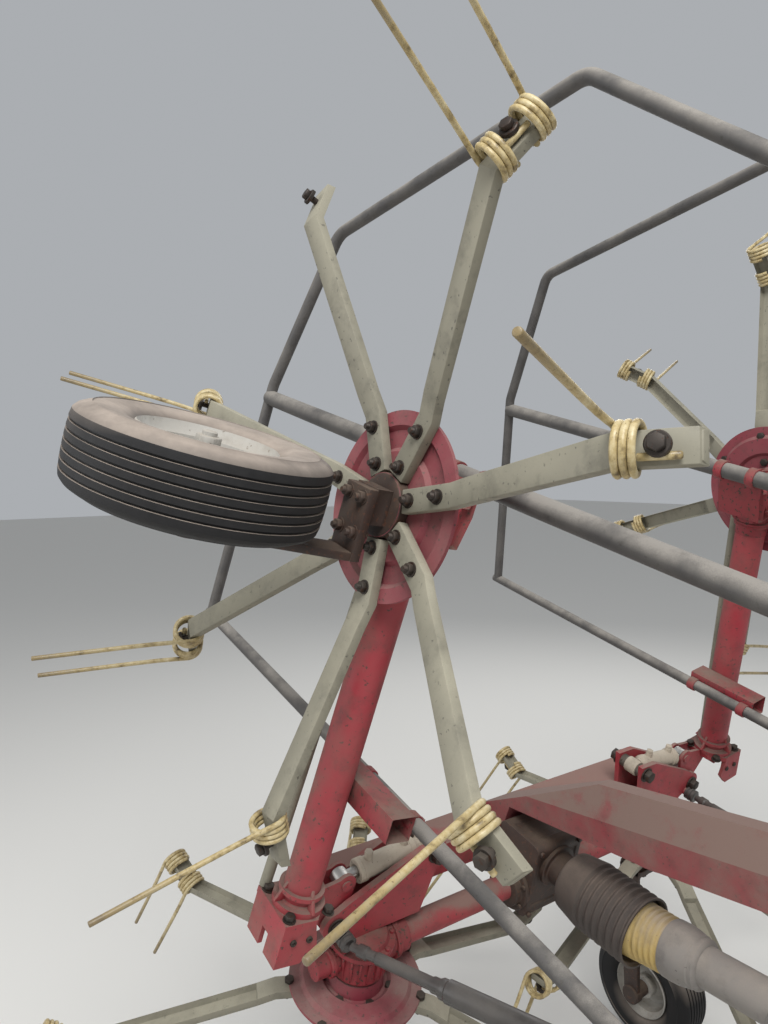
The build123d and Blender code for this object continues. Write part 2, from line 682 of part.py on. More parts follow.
# Boom: a box with a wedge foot on the cross beam, rising to the swivel tube at its nose
foot_front = point(row, 0, cross_beam_y + cross_beam_side / 2, cross_beam_z + cross_beam_side / 2)
foot_back = point(row, 0, cross_beam_y - cross_beam_side / 2, cross_beam_z + cross_beam_side / 2)
shaft_z = point(row, 0, input_reach + knuckle_reach, input_z).Z
nose_y = row_y + swivel_y - swivel_tube_radius
rise = tan(radians(boom_rise))
top_z = boom_low_z + boom_depth
with BuildPart() as boom:
    with BuildSketch(Plane(origin=(-boom_width / 2, 0, 0), x_dir=(0, 1, 0), z_dir=(1, 0, 0))):
        with BuildLine():
            Polyline((foot_front.Y, foot_front.Z), (row_y - 62, boom_low_z - 16), (row_y + 360, boom_low_z),
                     (nose_y + 6, boom_low_z + rise * (nose_y + 6 - row_y - 360)),
                     (nose_y + 6, top_z + rise * (nose_y + 6 - row_y - 200)),
                     (row_y + 200, top_z), (foot_back.Y, foot_back.Z), close=True)
        make_face()
    extrude(amount=boom_width)
    with BuildSketch(Plane(origin=(0, row_y + 200, top_z), x_dir=(1, 0, 0), z_dir=(0, 1, rise))):
        Polygon((-boom_crest / 2, 0), (boom_crest / 2, 0), (boom_width / 2, boom_shoulder), (boom_width / 2, 500),
                (-boom_width / 2, 500), (-boom_width / 2, boom_shoulder), align=None)
    extrude(amount=2 * swivel_y, both=True, mode=Mode.INTERSECT)
    with BuildSketch(Plane(origin=(0, row_y + swivel_y, swivel_low), z_dir=(0, 0, 1))):
        Circle(swivel_tube_radius)
    extrude(amount=swivel_height)
    with BuildSketch(Plane(origin=(0, row_y + swivel_y, swivel_low), z_dir=(0, 0, 1))):
        Circle(swivel_radius + running_gap)
    extrude(amount=swivel_height, mode=Mode.SUBTRACT)
    with BuildSketch(Plane(origin=(stand_x, row_y + stand_y, stand_sleeve_low), z_dir=(0, 0, 1))):
        Rectangle(stand_side + 2 * stand_sleeve_wall, stand_side + 2 * stand_sleeve_wall)
        Rectangle(stand_side + 2 * running_gap, stand_side + 2 * running_gap, mode=Mode.SUBTRACT)
    extrude(amount=stand_sleeve_height)
    hook_half = guard_tube_radius + hook_wall + 1
    hook_low = -shaft_z + guard_tube_radius + seat_gap
    with BuildSketch(Plane(origin=(0, row_y + hook_y, 0), x_dir=(1, 0, 0), z_dir=(0, 1, 0))):
        with BuildLine():
            Polyline((-hook_half, -boom_low_z - 70), (-hook_half, hook_low + hook_wall), (hook_half, hook_low + hook_wall),
                     (hook_half, -shaft_z - 10), (hook_half - hook_wall, -shaft_z - 10),
                     (hook_half - hook_wall, hook_low), (-hook_half + hook_wall, hook_low),
                     (-hook_half + hook_wall, -boom_low_z - 70), close=True)
        make_face()
    extrude(amount=30)
save(boom.part, "boom")

# Parking leg that slides in the sleeve beside the boom
with BuildPart() as stand_leg:
    with BuildSketch(Plane(origin=(stand_x, row_y + stand_y, 0), z_dir=(0, 0, 1))):
        Rectangle(120, 120)
    extrude(amount=8)
    with BuildSketch(Plane(origin=(stand_x, row_y + stand_y, 8), z_dir=(0, 0, 1))):
        Rectangle(stand_side, stand_side)
        Rectangle(stand_side - 8, stand_side - 8, mode=Mode.SUBTRACT)
    extrude(amount=stand_leg_top - 8)
save(stand_leg.part, "stand_leg")

# Headstock: swivel pin between two fork plates, mast, lower bar with link pins, top link ears
damper_back = point(row, damper_back_x, ear_face + damper_stud_reach + 6, damper_back_z)
mast_y = swivel_y + 90
fork_low = swivel_low - 2 - 14
fork_high = swivel_low + swivel_height + 2
with BuildPart() as headstock:
    for z in (fork_low, fork_high):
        with BuildSketch(Plane(origin=(0, row_y, z), z_dir=(0, 0, 1))):
            with Locations((0, swivel_y)):
                Circle(swivel_tube_radius + 4)
            with Locations((0, (swivel_y + mast_y) / 2)):
                Rectangle(2 * swivel_tube_radius + 8, mast_y - swivel_y)
        extrude(amount=14)
    with BuildSketch(Plane(origin=(0, row_y + swivel_y, fork_low), z_dir=(0, 0, 1))):
        Circle(swivel_radius)
    extrude(amount=fork_high + 14 - fork_low)
    with BuildSketch(Plane(origin=(0, row_y + mast_y, 0), x_dir=(1, 0, 0), z_dir=(0, 1, 0))):
        with BuildLine():
            Polyline((-link_spacing / 2 + 60, -headstock_pin_z + 45), (link_spacing / 2 - 60, -headstock_pin_z + 45),
                     (link_spacing / 2 - 60, -headstock_pin_z - 45), (70, -headstock_pin_z - mast_height + 60),
                     (70, -headstock_pin_z - mast_height - 40), (-70, -headstock_pin_z - mast_height - 40),
                     (-70, -headstock_pin_z - mast_height + 60), (-link_spacing / 2 + 60, -headstock_pin_z - 45),
                     close=True)
        make_face()
        with BuildLine():
            Polyline((-150, -headstock_pin_z - 48), (150, -headstock_pin_z - 48), (60, -fork_low + 30),
                     (-60, -fork_low + 30), close=True)
        make_face(mode=Mode.SUBTRACT)
    extrude(amount=14)
    for side in (-1, 1):
        with BuildSketch(Plane(origin=(side * (link_spacing - link_pin_length) / 2, row_y + mast_y + 45,
                                       headstock_pin_z), x_dir=(0, 1, 0), z_dir=(side, 0, 0))):
            Circle(link_pin_radius)
        extrude(amount=link_pin_length)
        with BuildSketch(Plane(origin=(side * (link_spacing / 2 - 74), row_y + mast_y, headstock_pin_z),
                               x_dir=(0, 1, 0), z_dir=(side, 0, 0))):
            with BuildLine():
                Polyline((7, -45), (60, -36), (78, -10), (78, 10), (60, 36), (7, 45), close=True)
            make_face()
        extrude(amount=14 + 5)
        with BuildSketch(Plane(origin=(side * 32, row_y + mast_y, headstock_pin_z + mast_height),
                               x_dir=(0, 1, 0), z_dir=(side, 0, 0))):
            with BuildLine():
                Polyline((7, -40), (60, -30), (85, -24), (85, 24), (60, 30), (7, 40), close=True)
            make_face()
            with Locations((60, 0)):
                Circle(top_pin_radius, mode=Mode.SUBTRACT)
        extrude(amount=14)
        for z in (-damper_lug_gap - 8, damper_lug_gap):
            with BuildSketch(Plane(origin=(side * damper_front_x, row_y + mast_y, damper_back.Z + z),
                                   x_dir=(1, 0, 0), z_dir=(0, 0, 1))):
                with Locations((0, -damper_lug / 2)):
                    Rectangle(34, damper_lug)
                with Locations((0, -damper_lug)):
                    Circle(17)
            extrude(amount=8)
save(headstock.part, "headstock")

# Dampers, level, from the front ears to the headstock
damper_front = Vector(damper_front_x, row_y + mast_y - damper_lug, damper_back.Z)
damper_length = (damper_front - damper_back).length
damper = Plane(origin=damper_back, x_dir=damper_front - damper_back, z_dir=(0, 0, 1))
stem = 70
bore_start = stem + 30
rod_inside = 180
with BuildPart() as damper_side:
    with BuildSketch(spot(row, damper_back_x, ear_face + 4 + seat_gap, damper_back_z, ALONG_Y)):
        Circle(damper_cup_radius)
    extrude(amount=damper_stud_reach - 4 + damper_cup_wall)
    with BuildSketch(spot(row, damper_back_x, ear_face, damper_back_z, ALONG_Y)):
        Circle(damper_stud_radius + running_gap)
    extrude(amount=damper_stud_reach + seat_gap, mode=Mode.SUBTRACT)
    with BuildSketch(spot(damper, turn=ALONG_X)):
        Circle(9)
    extrude(amount=stem)
    with BuildSketch(spot(damper, x=stem, turn=ALONG_X)):
        Circle(damper_radius)
    extrude(amount=damper_barrel)
    with BuildSketch(spot(damper, x=bore_start, turn=ALONG_X)):
        Circle(damper_rod_radius + running_gap)
    extrude(amount=damper_barrel, mode=Mode.SUBTRACT)
with BuildPart() as damper_barrels:
    add(damper_side.part)
    add(mirror(damper_side.part, about=Plane.YZ))
save(damper_barrels.part, "damper_barrels")
with BuildPart() as damper_rod:
    rod_back = stem + damper_barrel - rod_inside
    with BuildSketch(spot(damper, x=rod_back, turn=ALONG_X)):
        Circle(damper_rod_radius)
    extrude(amount=damper_length - rod_back - 10)
    with BuildSketch(Plane(origin=damper_front - Vector(0, 0, damper_lug_gap - seat_gap), z_dir=(0, 0, 1))):
        Circle(15)
    extrude(amount=2 * (damper_lug_gap - seat_gap))
save_pair(damper_rod.part, "damper_rod")

# Drive shaft from the middle gearbox to the tractor, level, resting on a hook under the boom
knuckle = point(row, 0, input_reach + knuckle_reach, input_z)
shaft_end = row_y + shaft_end_y
with BuildPart() as drive_shaft:
    with BuildSketch(spot(row, 0, input_reach - 46, input_z, ALONG_Y)):
        Circle(30)
        Circle(input_radius + seat_gap, mode=Mode.SUBTRACT)
    extrude(amount=46)
    with BuildSketch(spot(row, 0, input_reach, input_z, ALONG_Y)):
        Rectangle(76, 44)
        Rectangle(50, 60, mode=Mode.SUBTRACT)
    extrude(amount=60)
    with BuildSketch(spot(row, 0, input_reach, input_z, ALONG_Y)):
        Rectangle(76, 44)
    extrude(amount=8)
    with BuildSketch(spot(row, -50, input_reach + 45, input_z, ALONG_X)):
        Circle(11)
    extrude(amount=100)
    with BuildSketch(Plane(origin=knuckle - Vector(0, 0, 40), z_dir=(0, 0, 1))):
        Circle(11)
    extrude(amount=80)
    with BuildSketch(Plane(origin=knuckle - Vector(0, 18, 0), x_dir=(1, 0, 0), z_dir=(0, 1, 0))):
        Rectangle(44, 76)
        Rectangle(60, 54, mode=Mode.SUBTRACT)
    extrude(amount=66)
    with BuildSketch(Plane(origin=knuckle + Vector(0, 48, 0), x_dir=(1, 0, 0), z_dir=(0, 1, 0))):
        Circle(shaft_radius)
    extrude(amount=shaft_end - 170 - knuckle.Y - 48)
    with BuildSketch(Plane(origin=(0, shaft_end - 170, knuckle.Z), x_dir=(1, 0, 0), z_dir=(0, 1, 0))):
        Rectangle(44, 76)
    extrude(amount=14)
    with BuildSketch(Plane(origin=(0, shaft_end - 170, knuckle.Z), x_dir=(1, 0, 0), z_dir=(0, 1, 0))):
        Rectangle(44, 76)
        Rectangle(60, 54, mode=Mode.SUBTRACT)
    extrude(amount=66)
    with BuildSketch(Plane(origin=(0, shaft_end - 122, knuckle.Z - 40), z_dir=(0, 0, 1))):
        Circle(11)
    extrude(amount=80)
    with BuildSketch(Plane(origin=(-40, shaft_end - 122, knuckle.Z), z_dir=(1, 0, 0))):
        Circle(11)
    extrude(amount=80)
    with BuildSketch(Plane(origin=(0, shaft_end - 140, knuckle.Z), x_dir=(1, 0, 0), z_dir=(0, 1, 0))):
        Rectangle(76, 44)
        Rectangle(54, 60, mode=Mode.SUBTRACT)
    extrude(amount=66)
    with BuildSketch(Plane(origin=(0, shaft_end - 74, knuckle.Z), x_dir=(1, 0, 0), z_dir=(0, 1, 0))):
        Circle(31)
    extrude(amount=74)
    with BuildSketch(Plane(origin=(0, shaft_end - 74, knuckle.Z), x_dir=(1, 0, 0), z_dir=(0, 1, 0))):
        Circle(input_radius)
    extrude(amount=74, mode=Mode.SUBTRACT)
save(drive_shaft.part, "drive_shaft")

# Guards: ribbed bell on the gearbox, ribbed cone and tube round the shaft
wall = 5
bell_back = bell_radius - 12
dip = radians(bell_dip)
bell = Plane(origin=point(row, 0, bell_start, input_z), x_dir=(0, cos(dip), -sin(dip)), z_dir=(-1, 0, 0))
with BuildPart() as shaft_guard:
    with BuildSketch(spot(row, 0, bell_start - 1, input_z, ALONG_Y)):
        Circle(nose_radius + 18)
        Circle(nose_radius + seat_gap, mode=Mode.SUBTRACT)
    extrude(amount=wall + 2)
    with BuildSketch(bell):
        with BuildLine():
            Polyline((0, nose_radius + 9), (0, bell_back), (60, bell_radius), (bell_length, bell_radius),
                     (bell_length, bell_radius - wall), (62, bell_radius - wall), (wall, bell_back - wall),
                     (wall, nose_radius + 9), close=True)
        make_face()
        with Locations((140, bell_radius)):
            with GridLocations(20, 0, 7, 1):
                Rectangle(8, 6)
    revolve(axis=Axis(bell.origin, bell.x_dir))
    cone_start = knuckle.Y + 62
    with BuildSketch(Plane(origin=(0, 0, knuckle.Z), x_dir=(0, 1, 0), z_dir=(1, 0, 0))):
        with BuildLine():
            Polyline((cone_start, cone_radius), (cone_start + 90, cone_radius - 8), (cone_start + 120, guard_tube_radius),
                     (shaft_end - 320, guard_tube_radius), (shaft_end - 290, front_cone_radius - 6),
                     (shaft_end - 200, front_cone_radius), (shaft_end - 200, front_cone_radius - wall),
                     (shaft_end - 288, front_cone_radius - 6 - wall), (shaft_end - 318, shaft_radius + seat_gap),
                     (cone_start + 118, shaft_radius + seat_gap), (cone_start + 88, cone_radius - 8 - wall),
                     (cone_start, cone_radius - wall), close=True)
        make_face()
        with Locations((cone_start + 46, cone_radius - 3)):
            with GridLocations(15, 0, 5, 1):
                Rectangle(6, 8)
    revolve(axis=Axis((0, 0, knuckle.Z), (0, 1, 0)))
save(shaft_guard.part, "shaft_guard")
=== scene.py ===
# %% [markdown]
# # A folded four-rotor tedder
# The machine stands in its shed with both wings folded up. The CAD frame gives every
# piece its place in metres: +Y is the way it is towed, +X its own right, +Z up.
# First the frame is loaded.

# %% Load the frame
import json
import math

import bmesh
import bpy
from mathutils import Matrix, Vector


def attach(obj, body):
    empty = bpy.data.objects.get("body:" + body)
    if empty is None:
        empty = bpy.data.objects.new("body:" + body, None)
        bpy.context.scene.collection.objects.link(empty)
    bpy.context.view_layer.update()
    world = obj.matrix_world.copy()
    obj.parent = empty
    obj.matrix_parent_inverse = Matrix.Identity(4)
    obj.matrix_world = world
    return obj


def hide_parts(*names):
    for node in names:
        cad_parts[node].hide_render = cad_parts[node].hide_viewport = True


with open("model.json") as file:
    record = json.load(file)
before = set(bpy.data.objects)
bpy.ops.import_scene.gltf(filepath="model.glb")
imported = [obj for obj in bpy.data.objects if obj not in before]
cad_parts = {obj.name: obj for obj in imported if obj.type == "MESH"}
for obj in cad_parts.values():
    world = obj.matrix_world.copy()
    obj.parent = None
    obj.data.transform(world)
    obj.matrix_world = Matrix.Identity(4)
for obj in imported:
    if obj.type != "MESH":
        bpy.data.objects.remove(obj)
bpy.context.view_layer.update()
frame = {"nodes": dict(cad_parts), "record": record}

# %% [markdown]
# ## Camera
# The photograph was taken from the machine's front right with a wide lens, its
# focal length 769 pixels on a frame of 768 by 1024. The camera stands where the
# measured points of wheel, rotor and guard line up with the photograph.

# %% Camera
PHOTO_LONG_SIDE = 1024
FOCAL_PIXELS = 769.0
SENSOR = 36.0
camera_place = Vector((1.4411, 1.0384, 1.7650))
camera_right = Vector((-0.81899111, 0.57373916, -0.00877176))
camera_up = Vector((-0.0396871, -0.04138825, 0.99835462))
camera_look = Vector((-0.57243209, -0.81799168, -0.05666665))
camera_data = bpy.data.cameras.new("photo_camera")
camera = bpy.data.objects.new("photo_camera", camera_data)
bpy.context.scene.collection.objects.link(camera)
camera_data.sensor_width = SENSOR
camera_data.lens = FOCAL_PIXELS / PHOTO_LONG_SIDE * SENSOR
camera_data.clip_start = 0.02
camera_data.clip_end = 60
turn = Matrix((camera_right, camera_up, -camera_look)).transposed()
camera.matrix_world = Matrix.Translation(camera_place) @ turn.to_4x4()
bpy.context.scene.camera = camera

# %% [markdown]
# ## Floor and light
# A pale studio floor that runs out of sight, a large soft lamp overhead as the shed's
# open side gives, a weaker one from the other side, and an even pale world.

# %% Floor, lamps and world
def deselect():
    """Leaves edit mode, where it is on, and selects nothing."""
    if bpy.context.mode != "OBJECT":
        bpy.ops.object.mode_set(mode="OBJECT")
    bpy.ops.object.select_all(action="DESELECT")


def feed(tree, node, inputs):
    """Fills a node's inputs, each from a value, a socket or another node's first output."""
    for name, source in inputs.items():
        if isinstance(source, (bpy.types.Node, bpy.types.NodeSocket)):
            tree.links.new(getattr(source, "outputs", [source])[0], node.inputs[name])
        else:
            node.inputs[name].default_value = source


def add_node(tree, kind, inputs=None, **settings):
    """Adds one node, sets it and fills its inputs."""
    node = tree.nodes.new(kind)
    for name, value in settings.items():
        setattr(node, name, value)
    feed(tree, node, inputs or {})
    return node


def srgb(code, alpha=1.0):
    """A hex colour as Blender's linear values."""
    parts = [int(code[i:i + 2], 16) / 255 for i in (0, 2, 4)]
    linear = [c / 12.92 if c <= 0.04045 else ((c + 0.055) / 1.055) ** 2.4 for c in parts]
    return (*linear, alpha)


def new_finish(name):
    """A new node material with its tree and its shader."""
    finish = bpy.data.materials.new(name)
    finish.use_nodes = True
    return finish, finish.node_tree, finish.node_tree.nodes["Principled BSDF"]


deselect()
bpy.ops.mesh.primitive_plane_add(size=60, location=(0, 0, -0.0005))
floor = bpy.context.object
floor.name = "floor"
floor_finish, tree, shader = new_finish("pale_floor")
feed(tree, shader, {"Base Color": srgb("d6d4cf"), "Roughness": 0.75})
floor.data.materials.append(floor_finish)


def soft_lamp(name, place, aim, size, watts):
    """A square lamp whose size in metres softens its shadows."""
    data = bpy.data.lights.new(name, "AREA")
    data.shape = "SQUARE"
    data.size = size
    data.energy = watts
    lamp = bpy.data.objects.new(name, data)
    bpy.context.scene.collection.objects.link(lamp)
    lamp.location = place
    lamp.rotation_mode = "QUATERNION"
    lamp.rotation_quaternion = (Vector(aim) - Vector(place)).to_track_quat("-Z", "Y")


soft_lamp("overhead", (2.2, 2.6, 5.4), (0, 0, 1.0), 2.6, 300)
soft_lamp("side", (4.4, -1.6, 2.6), (0, 0, 1.2), 3.0, 60)
soft_lamp("back", (-3.6, -3.0, 4.0), (0, 0, 1.0), 3.0, 80)
world = bpy.data.worlds.new("pale_world")
bpy.context.scene.world = world
world.use_nodes = True
feed(world.node_tree, world.node_tree.nodes["Background"], {"Color": srgb("dfe3e8"), "Strength": 0.55})
bpy.context.scene.view_settings.view_transform = "Standard"

# %% [markdown]
# ## Paint that has stood in a barn
# Sprayed enamel on steel: glossy where it is clean, covered with matt dust on every
# upward face, chipped to dark primer in small spots. The finish mixes three colours by
# masks. Dust follows the surface's own upward direction and a cloudy noise, chips follow
# a finer noise, and grime darkens it in broad patches. Object coordinates keep all of it
# fixed to the steel when a wing moves.

# %% Dusty paint
DUST_CLOUD = 1 / 0.11  # dust lies in patches about 110 mm across
GRIME_CLOUD = 1 / 0.05  # smears about 50 mm across
CHIP_SIZE = 1 / 0.009  # chips are 3 to 9 mm across
GRAIN_SIZE = 1 / 0.0012  # dust grains, drawn at 1.2 mm so that they show


def noise(tree, place, scale, detail, roughness=0.5):
    """A cloudy noise that stays fixed to the piece."""
    return add_node(tree, "ShaderNodeTexNoise", {"Vector": place.outputs["Object"], "Scale": scale, "Detail": detail,
                                                 "Roughness": roughness})


def spread(tree, source, low, high, least=0.0, most=1.0):
    """Stretches the values from low to high over least to most and holds them there beyond."""
    return add_node(tree, "ShaderNodeMapRange", {"Value": source, "From Min": low, "From Max": high,
                                                 "To Min": least, "To Max": most})


def maths(tree, operation, first, second, use_clamp=False):
    """One sum or product of two values."""
    return add_node(tree, "ShaderNodeMath", {0: first, 1: second}, operation=operation, use_clamp=use_clamp)


def laid_over(tree, mask, under, colour):
    """Lays a hex colour over another colour by a mask."""
    return add_node(tree, "ShaderNodeMix", {"Factor": mask, 6: under, 7: srgb(colour)}, data_type="RGBA").outputs[2]


def ramp(tree, source, stops):
    """Colours a value by stops of (position, hex colour)."""
    node = add_node(tree, "ShaderNodeValToRGB", {"Fac": source})
    elements = node.color_ramp.elements
    elements[0].position, elements[1].position = stops[0][0], stops[-1][0]
    for position, _ in stops[1:-1]:
        elements.new(position)
    for element, (_, colour) in zip(elements, stops):
        element.color = srgb(colour)
    return node


def upward_face(tree, place, low, high):
    """How far a face looks up, from 0 at low to 1 at high."""
    facing = add_node(tree, "ShaderNodeSeparateXYZ", {"Vector": place.outputs["Normal"]})
    return spread(tree, facing.outputs["Z"], low, high)


def dusty_paint(name, paint, dust, grime, gloss, lying, chipping=0.64, metal=0.0):
    """A worn surface: gloss is the clean paint's roughness, lying how thick the dust is, chipping where chips begin."""
    finish, tree, shader = new_finish(name)
    place = add_node(tree, "ShaderNodeTexCoord")
    grain = noise(tree, place, GRAIN_SIZE, 2.0)
    patchy = spread(tree, noise(tree, place, DUST_CLOUD, 5.0, 0.62), 0.34, 0.66, 0.25)
    lies = maths(tree, "MULTIPLY", upward_face(tree, place, -0.1, 0.9), patchy)
    film = maths(tree, "MULTIPLY", patchy, 0.3)
    speckle = spread(tree, grain, 0.3, 0.7, 0.75, 1.15)
    thick = maths(tree, "MULTIPLY", maths(tree, "ADD", lies, film), speckle)
    dusted = maths(tree, "MULTIPLY", thick, lying, use_clamp=True)
    grimy = spread(tree, noise(tree, place, GRIME_CLOUD, 6.0, 0.7), 0.5, 0.72, 0.0, 0.62)
    chipped = spread(tree, noise(tree, place, CHIP_SIZE, 3.0, 0.55), chipping, chipping + 0.03)
    base = laid_over(tree, grimy, srgb(paint), grime)
    colour = laid_over(tree, dusted, laid_over(tree, chipped, base, grime), dust)
    relief = maths(tree, "SUBTRACT", maths(tree, "MULTIPLY", grain, dusted), chipped)
    bump = add_node(tree, "ShaderNodeBump", {"Height": relief, "Strength": 0.35, "Distance": 0.0006})
    feed(tree, shader, {"Base Color": colour, "Roughness": spread(tree, dusted, 0.0, 0.55, gloss, 0.92),
                        "Normal": bump, "Metallic": metal})
    return finish


# Crimson enamel: bright on the sides, pink-brown under dust on top
crimson_enamel = dusty_paint("crimson_enamel", "a01a2f", "84685f", "451a1b", 0.3, 1.5)
# The boom carries the thickest coat of dust
boom_enamel = dusty_paint("boom_enamel", "8c1d2e", "7d675e", "401a1b", 0.36, 2.0)
# The rotor discs' red has gone dull and chalky
chalky_enamel = dusty_paint("chalky_enamel", "822938", "8a716a", "421e1d", 0.5, 0.8)
# The rotor arms' olive-grey paint, pale with chaff dust
arm_enamel = dusty_paint("arm_enamel", "7f7b6c", "9f9a88", "45423a", 0.52, 0.8, 0.66)
# Guard tubes: black semi-gloss with a thin grey film
guard_enamel = dusty_paint("guard_enamel", "2f2e30", "86817a", "1b1a1a", 0.34, 1.2, 0.64)
# Cast and drawn steel without paint: dark brown-grey
bare_steel = dusty_paint("bare_steel", "5b564f", "8a8176", "33281f", 0.42, 0.6, 0.6, 0.75)
# Bolts and nuts, black-oxide steel with rust
bolt_steel = dusty_paint("bolt_steel", "35302d", "6f665c", "3a2318", 0.45, 0.45, 0.58, 0.6)
# The rims' light grey paint
rim_enamel = dusty_paint("rim_enamel", "b3b1ab", "9c9488", "6a6258", 0.42, 0.8, 0.66)
# The cylinders' cream-grey paint, under a coat of dust
cylinder_enamel = dusty_paint("cylinder_enamel", "a79c8b", "b5aa99", "5f564b", 0.5, 0.8, 0.66)
# Damper barrels: black paint, rubbed and dusty
damper_enamel = dusty_paint("damper_enamel", "3a3837", "7d766e", "1f1b1a", 0.2, 0.35, 0.7)
# Hard chrome on the piston rods, hazy with oil and dust
rod_chrome = dusty_paint("rod_chrome", "c6c5c2", "8f877c", "8a8378", 0.16, 0.35, 0.75, 1.0)

# %% [markdown]
# ## Where things are
# The rotor row leans 14.8 degrees nose down, and each wing is folded 100 degrees up
# about a pin at its inner end. A piece is modelled upright at the world's origin, as
# on a bench, and then laid in place by one matrix. These matrices repeat the CAD's
# frames: the row, the wing, and a rotor's own frame with its disc at z = 0.

# %% Frames in metres
ROW_TILT = math.radians(14.8)
FOLD = math.radians(100)
ROW_Y = -0.322
WHEEL_IN, WHEEL_OUT = 0.165, 0.204
PIVOT_X = 0.631
OUTER_X = 0.9065
INNER_X = 0.545
OUTER_DISC = -0.170
INNER_DISC = -0.190
DRIVE_Z = -0.111
AXLE_IN = (0.107, -0.444)  # an inner wheel's axle from its rotor's disc: forward, up
AXLE_OUT = (-0.040, -0.350)
PIVOT_Z = WHEEL_IN + (-AXLE_IN[1] - INNER_DISC) * math.cos(ROW_TILT) + AXLE_IN[0] * math.sin(ROW_TILT)
shift = Matrix.Translation
# Turns that lay a bench piece's own Z along a direction of the machine, or turn it over
FORWARD, BACKWARD = (Matrix.Rotation(angle, 4, "X") for angle in (-math.pi / 2, math.pi / 2))
RIGHTWARD, LEFTWARD = (Matrix.Rotation(angle, 4, "Y") for angle in (math.pi / 2, -math.pi / 2))
OVER = Matrix.Rotation(math.pi, 4, "X")
row = shift((0, ROW_Y, PIVOT_Z)) @ Matrix.Rotation(-ROW_TILT, 4, "X")
wing = row @ shift((PIVOT_X, 0, 0)) @ Matrix.Rotation(-FOLD, 4, "Y")
mirrored = Matrix.Scale(-1, 4, (1, 0, 0))
sides = {"right": Matrix.Identity(4), "left": mirrored}
rotor_frames = {
    "outer_right": wing @ shift((OUTER_X, 0, OUTER_DISC)),
    "inner_right": row @ shift((INNER_X, 0, INNER_DISC)),
    "inner_left": mirrored @ row @ shift((INNER_X, 0, INNER_DISC)),
    "outer_left": mirrored @ wing @ shift((OUTER_X, 0, OUTER_DISC)),
}
carrier = {"outer": "wing_", "inner": "frame"}  # the body that an outer or inner gearbox and wheel leg sits on
print("fold pins", round(PIVOT_Z, 4), "above the floor")


def chosen(*pieces):
    """Selects only these pieces and makes the first one active."""
    deselect()
    for piece in pieces:
        piece.select_set(True)
    bpy.context.view_layer.objects.active = pieces[0]
    return pieces[0]


def lay(piece, frame_matrix):
    """Lays a piece that was modelled at the origin into its place, its place then in its mesh."""
    chosen(piece).matrix_world = frame_matrix
    bpy.ops.object.transform_apply(location=True, rotation=True, scale=True)
    if frame_matrix.determinant() < 0:
        bpy.ops.object.mode_set(mode="EDIT")
        bpy.ops.mesh.select_all(action="SELECT")
        bpy.ops.mesh.normals_make_consistent(inside=False)
        bpy.ops.object.mode_set(mode="OBJECT")
    return piece


def copied(piece, name, frame_matrix):
    """A copy with its own mesh, laid in another place."""
    other = piece.copy()
    other.data = piece.data.copy()
    other.name = name
    bpy.context.scene.collection.objects.link(other)
    return lay(other, frame_matrix)


def copies(piece, places):
    """Copies of one piece, one in each place."""
    return [copied(piece, piece.name + "_copy", place) for place in places]


def ring_of(count, first=0.0):
    """Turns about Z that set so many pieces evenly round a circle; first is counted in steps."""
    return [Matrix.Rotation((k + first) * 2 * math.pi / count, 4, "Z") for k in range(count)]


def joined(pieces, name):
    """Makes one object of several pieces."""
    chosen(*pieces)
    bpy.ops.object.join()
    pieces[0].name = name
    return pieces[0]


def scrapped(*pieces):
    """Clears the bench of pieces that have been copied."""
    for piece in pieces:
        bpy.data.objects.remove(piece)


def finished(piece, finish, slot, body, *nodes):
    """Gives a piece its finish, sets it on its body and lets it stand for CAD nodes; slot is not used."""
    piece.data.materials.clear()
    piece.data.materials.append(finish)
    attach(piece, body)
    if nodes:
        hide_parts(*nodes)
    return piece


def paired(piece, name, where, finish, slot, body, *nodes):
    """Lays a right-hand piece and its mirror image and clears the bench; a name that ends in _ gets its side."""
    for side, flip in sides.items():
        own_name, own_body, *own_nodes = (text + side if text[-1] == "_" else text for text in (name, body, *nodes))
        finished(copied(piece, own_name, flip @ where), finish, slot, own_body, *own_nodes)
    scrapped(piece)


def smoothed(piece, degrees=35):
    """Shades a piece smooth, apart from its edges that are sharper than this angle."""
    chosen(piece)
    bpy.ops.object.shade_smooth_by_angle(angle=math.radians(degrees))
    return piece


def shaved(piece, width, segments=2, degrees=40):
    """Breaks the sharp edges with a small bevel, as grinding and paint do."""
    chosen(piece)
    bevel = piece.modifiers.new("broken_edges", "BEVEL")
    bevel.width = width
    bevel.segments = segments
    bevel.limit_method = "ANGLE"
    bevel.angle_limit = math.radians(degrees)
    bpy.ops.object.modifier_apply(modifier=bevel.name)
    return smoothed(piece)


def pick(piece, wanted, mode="FACE"):
    """Selects faces, edges or points by a test, from edit mode."""
    bpy.ops.mesh.select_mode(type=mode)
    bpy.ops.mesh.select_all(action="DESELECT")
    shape = bmesh.from_edit_mesh(piece.data)
    group = {"FACE": shape.faces, "EDGE": shape.edges, "VERT": shape.verts}[mode]
    for part in group:
        if wanted(part):
            part.select_set(True)
    shape.select_flush_mode()
    bmesh.update_edit_mesh(piece.data)


def pulled(way):
    """Extrudes what is selected and moves it, from edit mode."""
    bpy.ops.mesh.extrude_region_move(TRANSFORM_OT_translate={"value": way})


def block(middle, size):
    """A cube laid out at its size and place, left in edit mode to be shaped."""
    deselect()
    bpy.ops.mesh.primitive_cube_add(size=1, location=middle, scale=size)
    bpy.ops.object.transform_apply(location=True, rotation=True, scale=True)
    bpy.ops.object.mode_set(mode="EDIT")
    return bpy.context.object


